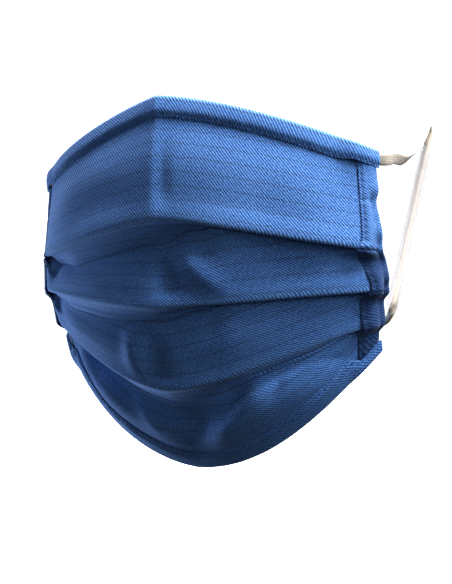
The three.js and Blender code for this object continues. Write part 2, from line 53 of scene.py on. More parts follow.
Socket = bpy.types.NodeSocket


class Side(Enum):
    """The wearer's two sides, with the sign of X and the ending of the piece names."""

    RIGHT = 1
    LEFT = -1

    @property
    def word(self) -> str:
        """Ending of the names of the pieces on this side."""
        return self.name.lower()


class Edge(Enum):
    """The two long edges of the cloth that carry a band."""

    TOP = "top"
    BOTTOM = "bottom"


def smooth(value: Array, low: float, high: float) -> Array:
    """Soft step from 0 at low to 1 at high."""
    share = np.clip((np.asarray(value, float) - low) / (high - low), 0, 1)
    return share * share * (3 - 2 * share)


def unit(vectors: Array) -> Array:
    """The same directions along the last axis, with length one."""
    length = np.linalg.norm(vectors, axis=-1, keepdims=True)
    return vectors / np.maximum(length, 1e-9)


def bell(value: Array, reach: float) -> Array:
    """Soft hump that is 1 at zero and fades out over the reach on both sides."""
    return np.exp(-((value / reach) ** 2))


def travelled(points: Array) -> Array:
    """Length from the first row of points to each row."""
    steps = np.linalg.norm(np.diff(points, axis=0), axis=-1)
    return np.concatenate([np.zeros((1,) + steps.shape[1:]), np.cumsum(steps, axis=0)])


def read_line(line: Array, lengths: Array, places: Array) -> Array:
    """Rows of a line at places between its given lengths."""
    return np.column_stack([np.interp(places, lengths, line[:, k]) for k in range(3)])


def bezier(
    a: Array, b: Array, c: Array, d: Array, t: Array | float
) -> Array:
    """Points at shares t of the cubic Bezier curve with the corner points a, b, c and d."""
    return (1 - t) ** 3 * a + 3 * (1 - t) ** 2 * t * b + 3 * (1 - t) * t**2 * c + t**3 * d


def blend(first: Array, second: Array, share: Array) -> Array:
    """Mix of two rows of points.

    Args:
        first: Points at share 0.
        second: Points at share 1.
        share: One share for each point, or one for all.

    Returns:
        The mixed points.
    """
    share = np.asarray(share, float)
    if share.ndim:
        share = share[..., None]
    return first + (second - first) * share


def through(stops: Array, counts: int) -> Array:
    """Rows of a smooth curve through stops, whose first three columns are a point."""
    knots = travelled(stops[:, :3])
    return spline(knots, stops, np.linspace(0, knots[-1], counts))


def spline(knots: Array, values: Array, places: Array) -> Array:
    """Cubic curve through values that doesn't swing past its neighbours much.

    Args:
        knots: Growing places of the values.
        values: One row of numbers at each knot.
        places: Where the curve is read.

    Returns:
        One row of numbers at each place.
    """
    slopes = np.diff(values, axis=0) / np.diff(knots)[:, None]
    tangents = np.vstack([slopes[:1], 0.5 * (slopes[:-1] + slopes[1:]), slopes[-1:]])
    turns = slopes[:-1] * slopes[1:] <= 0
    tangents[1:-1][turns] *= 0.35
    spot = np.clip(np.searchsorted(knots, places, side="right") - 1, 0, len(knots) - 2)
    width = np.diff(knots)[spot]
    t = ((places - knots[spot]) / width)[:, None]
    width = width[:, None]
    return (
        (2 * t**3 - 3 * t**2 + 1) * values[spot]
        + (t**3 - 2 * t**2 + t) * width * tangents[spot]
        + (3 * t**2 - 2 * t**3) * values[spot + 1]
        + (t**3 - t**2) * width * tangents[spot + 1]
    )


@dataclass(frozen=True)
class KeyPoint:
    """A point of a key line, in shares of the mask's width, depth and height."""

    line: int
    at: str
    out: float
    forward: float
    down: float


@dataclass(frozen=True)
class Dent:
    """A dent (inward above zero) or soft ridge of one panel.

    across and down are its middle, half_across and half_down its reach in the same shares,
    inward its depth in millimetres, lean the slope of its long axis in shares.
    """

    panel: int
    across: float
    down: float
    half_across: float
    half_down: float
    inward: float
    lean: float = 0.0


KEY_POINTS = (
    KeyPoint(0, "centre", 0, 0.75, 0),
    KeyPoint(0, "near_centre", 0.32, 0.55, 0.015),
    KeyPoint(0, "near_side", 0.8, 0.56, 0.115),
    KeyPoint(0, "right", 0.965, 0, 0.159),
    KeyPoint(0, "left", 0.94, 0, 0.161),
    KeyPoint(1, "centre", 0, 0.89, 0.318),
    KeyPoint(1, "near_centre", 0.35, 0.83, 0.33),
    KeyPoint(1, "near_side", 0.83, 0.56, 0.4),
    KeyPoint(1, "right", 1.03, 0.1, 0.398),
    KeyPoint(1, "left", 1.01, 0.03, 0.398),
    KeyPoint(2, "centre", 0, 0.83, 0.544),
    KeyPoint(2, "near_centre", 0.35, 0.8, 0.536),
    KeyPoint(2, "near_side", 0.82, 0.44, 0.503),
    KeyPoint(2, "right", 1.056, -0.13, 0.497),
    KeyPoint(2, "left", 1.075, -0.14, 0.497),
    KeyPoint(3, "centre", 0, 0.65, 0.76),
    KeyPoint(3, "near_centre", 0.35, 0.62, 0.75),
    KeyPoint(3, "near_side", 0.8, 0.27, 0.6),
    KeyPoint(3, "right", 1.006, -0.26, 0.578),
    KeyPoint(3, "left", 1.035, -0.26, 0.592),
    KeyPoint(4, "centre", 0, -0.1, 0.996),
    KeyPoint(4, "near_centre", 0.37, -0.06, 0.985),
    KeyPoint(4, "near_side", 0.69, 0.02, 0.84),
    KeyPoint(4, "right", 0.93, -0.35, 0.66),
    KeyPoint(4, "left", 0.945, -0.35, 0.667),
)

# Overlap of the three pleats across the mask, in shares of the pleat depth
PLEAT_OVERLAP = (
    (-1, 1, 0.9, 0.74),
    (-0.92, 0.8, 0.8, 0.7),
    (-0.8, -0.35, -0.2, -0.1),
    (-0.55, -0.65, -0.45, -0.4),
    (-0.3, -0.7, -0.5, -0.45),
    (0, -0.68, -0.42, -0.4),
    (0.2, -0.2, -0.15, -0.4),
    (0.4, 0.35, 0.35, -0.3),
    (0.65, 0.75, 0.7, -0.3),
    (0.8, 0.85, 0.8, -0.15),
    (0.92, 1, 0.9, 0.74),
    (1, 1, 0.9, 0.74),
)

# How far in the opened valleys lie, in the same shares
PLEAT_GAPE = (
    (-1, 0.5, 0.45, 0.6),
    (-0.5, 0.55, 0.5, 0.8),
    (0, 0.55, 0.5, 0.85),
    (0.25, 0.5, 0.5, 0.55),
    (0.42, 0.5, 0.45, 0.2),
    (0.75, 0.5, 0.45, 0.14),
    (1, 0.5, 0.45, 0.5),
)

# Outward swell of each panel's middle, in millimetres
PANEL_SWELL = (1.6, 1.2, 1.4, 4.0)
# Steps in which each half of a key line is kept
HALF_STEPS = 800
# Weights that even the cloth out across neighbouring columns
EASING = (0.06, 0.24, 0.4, 0.24, 0.06)
# Length of one stitch with its gap, in millimetres
STITCH_PITCH = 2.4
# How fast a dent fades within its reach
DENT_FALL = 1.4
# How far the rounded rim of a cloth stands out, against its thickness
RIM_BULGE = 0.32

DENTS = (
    Dent(1, 0.05, 0.75, 0.045, 0.4, 1.0),
    Dent(2, 0.06, 0.6, 0.075, 0.5, 2.4, 0.1),
    Dent(2, 0.21, 0.55, 0.075, 0.55, -1.7, 0.25),
    Dent(3, -0.03, 0.6, 0.07, 0.42, 2.6),
    Dent(3, -0.15, 0.45, 0.06, 0.45, -1.7),
    Dent(4, 0.06, 0.4, 0.12, 0.45, 2.6),
    Dent(4, 0.32, 0.35, 0.1, 0.35, -2.4, -0.5),
    Dent(4, -0.45, 0.5, 0.2, 0.5, -1.4),
)

# Smaller creases that only the dressed cloth has
FINE_DENTS = (
    Dent(1, 0.42, 0.5, 0.4, 0.6, 0.9),
    Dent(1, -0.35, 0.75, 0.22, 0.2, 0.6, 0.2),
    Dent(2, -0.35, 0.5, 0.2, 0.3, -0.6),
    Dent(2, 0.6, 0.5, 0.3, 0.6, 1.2),
    Dent(3, 0.3, 0.55, 0.15, 0.3, -0.7, 0.3),
    Dent(3, 0.6, 0.45, 0.1, 0.3, 0.5, 0.3),
    Dent(3, 0.83, 0.5, 0.05, 0.3, 0.5),
    Dent(4, 0.39, 0.34, 0.2, 0.45, -2.8, -0.5),
    Dent(4, 0.49, 0.22, 0.03, 0.18, 0.9, -0.2),
    Dent(4, 0.76, 0.3, 0.05, 0.25, 0.9, 0.3),
    Dent(4, 0.84, 0.2, 0.03, 0.15, -0.5, 0.4),
    Dent(4, -0.2, 0.35, 0.06, 0.3, -0.7, 0.2),
)

# Where the left border stands out below a fold: panel, first and last share down, how far at
# the first and at the last, in millimetres
LEFT_SWELLS = (
    (2, 0.42, 1.0, 2.4, 0.2),
    (3, 0.42, 1.0, 3.6, 0.2),
    (4, 0.08, 0.5, 1.2, 0.0),
)


@dataclass
class Section:
    """Starts and ends of the four panels and the folds between them, across the mask."""

    across: Array
    starts: list[Array]
    ends: list[Array]
    pleats: list[dict[str, Array]]


@dataclass
class WornShape:
    """The worn form of the cloth, in millimetres, from nearly the same values as the solids."""

    half_width: float = 78
    face_depth: float = 38
    height: float = 148
    line_length: float = 88
    slow_turn: float = math.radians(26)
    end_turn: float = math.radians(28)
    wall: float = 1.2
    layer_pitch: float = 1.6
    pleat_depth: float = 15
    clearance: float = 0.3
    binding_wall: float = 1.0
    closing: tuple[float, float] = (-8, 4)
    tightening: tuple[float, float] = (-5, 1)
    open_width: float = 1.8
    open_tip: float = 0.25
    open_valley: float = 0.3
    curl: float = math.radians(20)
    curl_start: float = 0.865
    curl_of_line: tuple[float, ...] = (0, 0.8, 0.35, 0.6, 0)
    flare: float = 3.0
    flare_of_line: tuple[float, ...] = (0, 1, 0.6, 0, 0)
    lines: list[dict[int, Array]] = field(default_factory=list)

    def __post_init__(self) -> None:
        """Turns the key points into the two halves of each line."""
        for line in range(5):
            self.lines.append({s.value: self.half_line(line, s) for s in Side})

    @property
    def seat_back(self) -> float:
        """How far the seat on the nose lies behind the side corners' zero."""
        return 0.75 * self.face_depth - (
            self.wall / 2 + self.clearance + self.binding_wall
        )

    def half_line(self, line: int, side: Side) -> Array:
        """One half of a key line, as many points of its Bezier curve.

        Args:
            line: Number of the line, from the top edge down.
            side: Which half.

        Returns:
            Points evenly spaced along the half, from the centre out.
        """
        stops = []
        for at in ("centre", "near_centre", "near_side", side.word):
            key = next(k for k in KEY_POINTS if k.line == line and k.at == at)
            out = side.value * self.half_width * key.out
            back = self.seat_back - self.face_depth * key.forward
            stops.append((out, back, -self.height * key.down))
        a, b, c, d = np.array(stops)
        t = np.linspace(0, 1, HALF_STEPS + 1)[:, None]
        curve = bezier(a, b, c, d, t)
        lengths = travelled(curve)
        return read_line(curve, lengths, np.linspace(0, lengths[-1], len(curve)))

    def line_at(self, line: int, across: Array) -> Array:
        """Points of a key line.

        Args:
            line: Number of the line.
            across: Places from the left side, -1, to the right side, 1.

        Returns:
            One point for each place.
        """
        across = np.atleast_1d(np.asarray(across, float))
        spot = np.minimum(np.abs(across), 1) * HALF_STEPS
        out = np.zeros((len(across), 3))
        for side in Side:
            mine = (across < 0) == (side is Side.LEFT)
            table = self.lines[line][side.value]
            out[mine] = read_line(table, np.arange(HALF_STEPS + 1), spot[mine])
            if side is Side.LEFT and self.curl_of_line[line]:
                root = table[round(HALF_STEPS * self.curl_start)]
                turn = self.curl * self.curl_of_line[line] * self.curled(across[mine])
                away = out[mine] - root
                sine, cosine = np.sin(turn), np.cos(turn)
                out[mine, 0] = root[0] + away[:, 0] * cosine + away[:, 1] * sine
                out[mine, 1] = root[1] - away[:, 0] * sine + away[:, 1] * cosine
        rise = smooth(across, 0.02, 0.45) * (1 - smooth(across, 0.7, 0.97))
        return out - self.inward_at(across) * (
            self.flare * self.flare_of_line[line] * rise[:, None]
        )

    def curled(self, across: Array) -> Array:
        """How far the left border turns back at each place, from 0 to 1."""
        return smooth(-np.asarray(across), self.curl_start, self.curl_start + 0.06)

    def inward_at(self, across: Array) -> Array:
        """Level direction towards the face.

        Args:
            across: Places across the mask.

        Returns:
            One direction for each place.
        """
        ends = np.sign(across) * smooth(np.abs(across), 0.6, 1)
        angle = self.slow_turn * across + self.end_turn * ends
        angle = angle - self.curl * 0.6 * self.curled(across)
        return np.column_stack([-np.sin(angle), np.cos(angle), np.zeros_like(angle)])

    @staticmethod
    def from_table(table: tuple, column: int, across: Array) -> Array:
        """Reads a table softly between its rows.

        Args:
            table: Rows that start with their place across.
            column: Which number of a row is wanted.
            across: Places across the mask.

        Returns:
            The number at each place.
        """
        rows = np.array(table, float)
        spot = np.clip(np.searchsorted(rows[:, 0], across), 1, len(rows) - 1)
        before, after = rows[spot - 1], rows[spot]
        share = smooth(across, before[:, 0], after[:, 0])
        return before[:, column] + (after[:, column] - before[:, column]) * share

    def relief(
        self, panel: int, across: Array, down: Array, fine: bool
    ) -> Array:
        """Swell and dents of a panel.

        Args:
            panel: Number of the panel, from 1 at the top.
            across: Places across the mask.
            down: Shares down the panel.
            fine: Whether the smaller creases count too.

        Returns:
            Outward distances in millimetres.
        """
        fade = 1 - smooth(np.abs(across), 0.55, 0.9)
        hump = np.sin(np.pi * np.clip(down, 0, 1)) ** 2
        outward = PANEL_SWELL[panel - 1] * fade * hump
        wide_fade = 1 - smooth(np.abs(across), 0.82, 0.93)
        groups = [(DENTS, fade * np.minimum(1, hump * 3))]
        if fine:
            groups.append((FINE_DENTS, wide_fade * np.minimum(1, hump * 4)))
        for dents, calm in groups:
            for dent in dents:
                if dent.panel == panel:
                    outward = outward - self.dent_depth(dent, across, down) * calm
        if fine:
            for number, low, high, first, last in LEFT_SWELLS:
                if number == panel:
                    share = np.clip((down - low) / (high - low), 0, 1)
                    swell = (first + (last - first) * share) * smooth(down, low, low + 0.14)
                    outward = outward + swell * smooth(-across, 0.72, 0.93)
        return outward

    @staticmethod
    def dent_depth(dent: Dent, across: Array, down: Array) -> Array:
        """Depth of one dent.

        Args:
            dent: The dent.
            across: Places across the mask.
            down: Shares down the panel.

        Returns:
            Inward distances in millimetres.
        """
        along = (down - dent.down) / dent.half_down
        middle = dent.across + dent.lean * (down - dent.down)
        sideways = (across - middle) / dent.half_across
        return dent.inward * np.exp(-DENT_FALL * (sideways**2 + along**2))

    def pleat_at(
        self, index: int, across: Array, start: Array
    ) -> dict[str, Array]:
        """The fold at the lower end of a panel and the inner fold behind it.

        Args:
            index: Number of the pleat, from 1 at the top.
            across: Places across the mask.
            start: Start of the panel above, at each place.

        Returns:
            The named points of the two folds and how tight they are.
        """
        inward = self.inward_at(across)
        edge = self.line_at(index, across)
        upward = unit(start - edge)
        overlap = self.pleat_depth * self.from_table(PLEAT_OVERLAP, index, across)
        closed = smooth(overlap, *self.closing)
        tight = smooth(overlap, *self.tightening)
        gape = self.pleat_depth * self.from_table(PLEAT_GAPE, index, across)
        depth = gape + (2 * self.layer_pitch - gape) * closed
        turn = self.layer_pitch / 2
        back = edge + upward * overlap[:, None] + inward * depth[:, None]
        towards = unit(back - edge)
        soft = 1 - tight
        pitch = (self.layer_pitch * tight)[:, None]
        give = (self.open_width * soft)[:, None]
        edge_back = edge + inward * pitch + towards * give
        edge_tip = (edge + edge_back) / 2 - upward * (turn * tight + self.open_tip * soft)[:, None]
        back_front = back - inward * pitch - towards * give
        back_tip = (back + back_front) / 2 + upward * (turn * tight)[:, None]
        back_tip = back_tip + inward * (self.open_valley * soft)[:, None]
        return {
            "edge": edge,
            "edge_tip": edge_tip,
            "edge_back": edge_back,
            "back_front": back_front,
            "back_tip": back_tip,
            "back": back,
            "soft": soft,
        }

    def section(self, across: Array) -> Section:
        """Panels and pleats at places across the mask.

        Args:
            across: Places from -1 to 1.

        Returns:
            The section there.
        """
        across = np.atleast_1d(np.asarray(across, float))
        starts, ends, pleats = [self.line_at(0, across)], [], []
        for index in (1, 2, 3):
            pleat = self.pleat_at(index, across, starts[-1])
            ends.append(pleat["edge"])
            pleats.append(pleat)
            starts.append(pleat["back"])
        ends.append(self.line_at(4, across))
        return Section(across, starts, ends, pleats)

    def panel_point(
        self, section: Section, panel: int, down: Array, fine: bool = True
    ) -> Array:
        """Points of a panel's cloth.

        Args:
            section: Where across the mask.
            panel: Number of the panel.
            down: Share down the panel at each place, or one share for all.
            fine: Whether the smaller creases count.

        Returns:
            One point for each place.
        """
        down = np.broadcast_to(np.asarray(down, float), section.across.shape)
        point = blend(section.starts[panel - 1], section.ends[panel - 1], down)
        outward = self.relief(panel, section.across, down, fine)
        return point - self.inward_at(section.across) * outward[:, None]

    def panel_inward(
        self, section: Section, panel: int, down: Array
    ) -> Array:
        """Directions towards the face, square to a panel's slope.

        Args:
            section: Where across the mask.
            panel: Number of the panel.
            down: Share down the panel.

        Returns:
            One direction for each place.
        """
        down = np.broadcast_to(np.asarray(down, float), section.across.shape)
        above = self.panel_point(section, panel, down - 0.04, False)
        below = self.panel_point(section, panel, down + 0.04, False)
        along = unit(below - above)
        inward = self.inward_at(section.across)
        return unit(inward - along * np.sum(inward * along, axis=1, keepdims=True))

    def length(self, section: Section, panel: int) -> Array:
        """Straight length of a panel at each place across the mask."""
        return np.linalg.norm(section.ends[panel - 1] - section.starts[panel - 1], axis=1)


def linked(name: str, data: bpy.types.ID) -> Object:
    """Makes an object of the data at the origin and puts it in the scene."""
    made = bpy.data.objects.new(name, data)
    bpy.context.scene.collection.objects.link(made)
    return made


def smooth_mesh(name: str, points: Array, faces: list, uv: Array) -> bpy.types.Mesh:
    """Makes a smooth-shaded mesh with its place on the flat cloth.

    Args:
        name: Name of the mesh.
        points: Corner points in metres.
        faces: Corner numbers of each face.
        uv: Two numbers in metres for each corner point.

    Returns:
        The mesh.
    """
    mesh = bpy.data.meshes.new(name)
    mesh.from_pydata(points.tolist(), [], faces)
    mesh.polygons.foreach_set("use_smooth", np.ones(len(faces), bool))
    corners = np.zeros(len(mesh.loops), np.int32)
    mesh.loops.foreach_get("vertex_index", corners)
    layer = mesh.uv_layers.new(name="cloth")
    layer.data.foreach_set("uv", uv[corners].astype(np.float32).ravel())
    return mesh


def bare_mesh(
    name: str,
    points: Array,
    faces: Array,
    uv: Array,
    wear_and_painted_light: Array | None = None,
) -> Object:
    """Makes a smooth-shaded object whose faces point out.

    Args:
        name: Name of the piece.
        points: Corner points in millimetres.
        faces: Corner numbers of the faces.
        uv: Two numbers in metres for each corner point.
        wear_and_painted_light: For each corner point, paler above zero, rubbed wear with a painted
            highlight, and darker below, painted shade.

    Returns:
        The new object, at the origin.
    """
    points = np.asarray(points, float) * MM
    a, b, c = (points[faces[:, k]] for k in range(3))
    volume = np.sum(a * np.cross(b, c))
    if faces.shape[1] == 4:
        volume += np.sum(a * np.cross(c, points[faces[:, 3]]))
    if volume < 0:
        faces = faces[:, ::-1]
    mesh = smooth_mesh(name, points, faces.tolist(), uv)
    if wear_and_painted_light is not None:
        attribute = mesh.attributes.new("wear_and_painted_light", "FLOAT", "POINT")
        attribute.data.foreach_set("value", wear_and_painted_light.astype(np.float32))
    mesh.update()
    return linked(name, mesh)


def thick_sheet(
    name: str,
    grid: Array,
    uv: Array,
    outside: float | Array,
    inside: float | Array,
    wear_and_painted_light: Array | None = None,
) -> Object:
    """Makes cloth with a thickness on a grid, with a rounded rim.

    Args:
        name: Name of the piece.
        grid: Points of the cloth, rows by columns by three.
        uv: Place of each grid point on the flat cloth, in metres.
        outside: Thickness on the side that the grid's normals point to, one or one a point.
        inside: Thickness on the other side.
        wear_and_painted_light: At each grid point, paler above zero, rubbed wear with a painted
            highlight, and darker below, painted shade.

    Returns:
        The new object.
    """
    rows, columns = grid.shape[:2]
    along = unit(np.gradient(grid, axis=0))
    sideways = unit(np.gradient(grid, axis=1))
    normal = unit(np.cross(along, sideways))
    rim = np.zeros((rows, columns, 3))
    rim[0] -= along[0]
    rim[-1] += along[-1]
    rim[:, 0] -= sideways[:, 0]
    rim[:, -1] += sideways[:, -1]
    outside = np.broadcast_to(outside, (rows, columns))[..., None]
    inside = np.broadcast_to(inside, (rows, columns))[..., None]
    middle = (outside - inside) / 2
    bulge = RIM_BULGE * (outside + inside)
    layers = [grid + normal * outside, grid - normal * inside]
    layers.append(grid + normal * middle + rim * bulge)
    count = rows * columns
    points = np.concatenate([layer.reshape(-1, 3) for layer in layers])
    index = np.arange(count).reshape(rows, columns)
    quads = [
        np.stack([index[:-1, :-1], index[1:, :-1], index[1:, 1:], index[:-1, 1:]], -1),
        np.stack([index[:-1, :-1], index[:-1, 1:], index[1:, 1:], index[1:, :-1]], -1)
        + count,
    ]
    border = np.concatenate(
        [index[0], index[1:, -1], index[-1, -2::-1], index[-2:0:-1, 0]]
    )
    after = np.roll(border, -1)
    rounded = border + 2 * count
    rounded_after = after + 2 * count
    quads.append(np.stack([border, after, rounded_after, rounded], -1))
    quads.append(np.stack([rounded, rounded_after, after + count, border + count], -1))
    faces = np.concatenate([q.reshape(-1, 4) for q in quads])
    flat = np.tile(uv.reshape(-1, 2), (3, 1))
    tiled_wear_and_light = None if wear_and_painted_light is None else np.tile(wear_and_painted_light.reshape(-1), 3)
    return drop_loose(bare_mesh(name, points, faces, flat, tiled_wear_and_light))


def drop_loose(made: Object) -> Object:
    """Removes the corner points that no face uses."""
    shape = bmesh.new()
    shape.from_mesh(made.data)
    loose = [v for v in shape.verts if not v.link_faces]
    bmesh.ops.delete(shape, geom=loose, context="VERTS")
    shape.to_mesh(made.data)
    shape.free()
    return made


def ring_faces(rings: int, sides: int, first: int = 0) -> tuple[Array, Array]:
    """Faces that join each ring of points to the next.

    Args:
        rings: How many rings.
        sides: Points in each ring.
        first: Number of the first point.

    Returns:
        The points' numbers, ring by ring, and the faces.
    """
    index = np.arange(rings * sides).reshape(rings, sides) + first
    turned = np.roll(index, -1, axis=1)
    faces = np.stack([index[:-1], turned[:-1], turned[1:], index[1:]], -1)
    return index, faces.reshape(-1, 4)


def tube(
    name: str, centres: Array, wide: Array, thin: Array, outline: Array
) -> Object:
    """Sweeps a closed outline along a line and closes both ends.

    Args:
        name: Name of the piece.
        centres: Points of the line in millimetres.
        wide: Vector of the outline's first direction at each point.
        thin: Vector of the outline's second direction at each point.
        outline: Points of the outline, two numbers each.

    Returns:
        The new object.
    """
    rings, sides = len(centres), len(outline)
    points = (
        centres[:, None]
        + wide[:, None] * outline[None, :, :1]
        + thin[:, None] * outline[None, :, 1:]
    )
    length = travelled(centres)
    breadth = np.linalg.norm(wide, axis=1)[:, None] * outline[None, :, 0]
    uv = np.stack([breadth, np.broadcast_to(length[:, None], breadth.shape)], -1) * MM
    index, quads = ring_faces(rings, sides)
    faces = quads.tolist()
    for middle, ring in ((rings * sides, 0), (rings * sides + 1, rings - 1)):
        turned = np.roll(index[ring], -1)
        cap = np.stack([index[ring], turned, np.full(sides, middle)], -1)
        faces += (cap if ring else cap[:, ::-1]).tolist()
    flat_points = np.concatenate([points.reshape(-1, 3), centres[[0, -1]]])
    end_uv = [[0, length[0] * MM], [0, length[-1] * MM]]
    return mixed_mesh(name, flat_points, faces, np.concatenate([uv.reshape(-1, 2), end_uv]))


def mixed_mesh(
    name: str, points: Array, faces: list[list[int]], uv: Array
) -> Object:
    """Makes a smooth object from faces of three and four corners, turned to point out.

    Args:
        name: Name of the piece.
        points: Corner points in millimetres.
        faces: Corner numbers of each face.
        uv: Two numbers in metres for each corner point.

    Returns:
        The new object.
    """
    mesh = smooth_mesh(name, points * MM, faces, uv)
    shape = bmesh.new()
    shape.from_mesh(mesh)
    bmesh.ops.recalc_face_normals(shape, faces=shape.faces)
    shape.to_mesh(mesh)
    shape.free()
    mesh.update()
    return linked(name, mesh)


class Bench:
    """Places and links the shader nodes of one material."""

    def __init__(self, name: str) -> None:
        """Starts an empty material.

        Args:
            name: Name of the material.
        """
        self.material = bpy.data.materials.new(name)
        self.material.use_nodes = True
        self.tree = self.material.node_tree
        self.tree.nodes.clear()
        self.output = self.tree.nodes.new("ShaderNodeOutputMaterial")
        self.shader = self.tree.nodes.new("ShaderNodeBsdfPrincipled")
        self.tree.links.new(self.shader.outputs[0], self.output.inputs[0])

    def put(self, socket: Socket, value: object) -> None:
        """Links a socket, or sets its number or colour."""
        if isinstance(value, Socket):
            self.tree.links.new(value, socket)
        else:
            socket.default_value = value

    def flat(self) -> tuple[Socket, Socket]:
        """Place on the flat cloth, as the two numbers of the piece's own UV map."""
        source = self.tree.nodes.new("ShaderNodeUVMap")
        source.uv_map = "cloth"
        split = self.tree.nodes.new("ShaderNodeSeparateXYZ")
        self.put(split.inputs[0], source.outputs[0])
        return split.outputs[0], split.outputs[1]

    def math(self, operation: str, *values: object) -> Socket:
        """One sum.

        Args:
            operation: Name of the Math node's operation.
            values: Sockets or numbers.

        Returns:
            The result's socket.
        """
        node = self.tree.nodes.new("ShaderNodeMath")
        node.operation = operation
        for socket, value in zip(node.inputs, values):
            self.put(socket, value)
        return node.outputs[0]

    def times(self, first: object, second: object) -> Socket:
        """Product of two sockets or numbers."""
        return self.math("MULTIPLY", first, second)

    def plus(self, first: object, second: object, third: object) -> Socket:
        """Product of the first two, plus the third."""
        return self.math("MULTIPLY_ADD", first, second, third)

    def wave(self, place: object) -> Socket:
        """Soft wave from 0 to 1 with one crest in each whole number of place."""
        turned = self.math("COSINE", self.times(place, 2 * math.pi))
        return self.plus(turned, 0.5, 0.5)

    def step(self, value: object, low: float, high: float) -> Socket:
        """Soft step of a socket from 0 at low to 1 at high."""
        node = self.tree.nodes.new("ShaderNodeMapRange")
        node.interpolation_type = "SMOOTHSTEP"
        self.put(node.inputs["Value"], value)
        node.inputs["From Min"].default_value = low
        node.inputs["From Max"].default_value = high
        return node.outputs[0]

    def noise(self, x: object, y: object, scale: float, detail: float = 2) -> Socket:
        """Cloudy noise over the flat cloth.

        Args:
            x: First place.
            y: Second place.
            scale: Clouds in a metre.
            detail: How fine it gets.

        Returns:
            The noise, about 0.5.
        """
        joined = self.tree.nodes.new("ShaderNodeCombineXYZ")
        self.put(joined.inputs[0], x)
        self.put(joined.inputs[1], y)
        node = self.tree.nodes.new("ShaderNodeTexNoise")
        self.put(node.inputs["Vector"], joined.outputs[0])
        node.inputs["Scale"].default_value = scale
        node.inputs["Detail"].default_value = detail
        return node.outputs[0]

    def mix(self, share: object, first: object, second: object) -> Socket:
        """Mix of two colours.

        Args:
            share: Share of the second colour.
            first: Colour or socket.
            second: Colour or socket.

        Returns:
            The mixed colour.
        """
        node = self.tree.nodes.new("ShaderNodeMix")
        node.data_type = "RGBA"
        inlets = [s for s in node.inputs if s.type == "RGBA"]
        self.put(node.inputs[0], share)
        self.put(inlets[0], first)
        self.put(inlets[1], second)
        return next(s for s in node.outputs if s.type == "RGBA")

    def bump(self, height: object, distance: float, strength: float = 1.0) -> None:
        """Raises the surface by a height of 0 to 1 times a distance in metres."""
        node = self.tree.nodes.new("ShaderNodeBump")
        self.put(node.inputs["Height"], height)
        node.inputs["Distance"].default_value = distance
        node.inputs["Strength"].default_value = strength
        self.put(self.shader.inputs["Normal"], node.outputs[0])

    def set(self, **values: object) -> None:
        """Sets the shader's own sockets, with underscores for spaces in their names."""
        for name, value in values.items():
            self.put(self.shader.inputs[name.replace("_", " ")], value)


def colour(red: float, green: float, blue: float) -> Colour:
    """A screen colour of 0 to 255 as the shader's linear colour."""
    parts = [value / 255 for value in (red, green, blue)]
    linear = [p / 12.92 if p <= 0.04045 else ((p + 0.055) / 1.055) ** 2.4 for p in parts]
    return (*linear, 1.0)


def darker(tone: Colour, share: float) -> Colour:
    """A colour with only a share of its light left."""
    return (*(share * part for part in tone[:3]), 1.0)


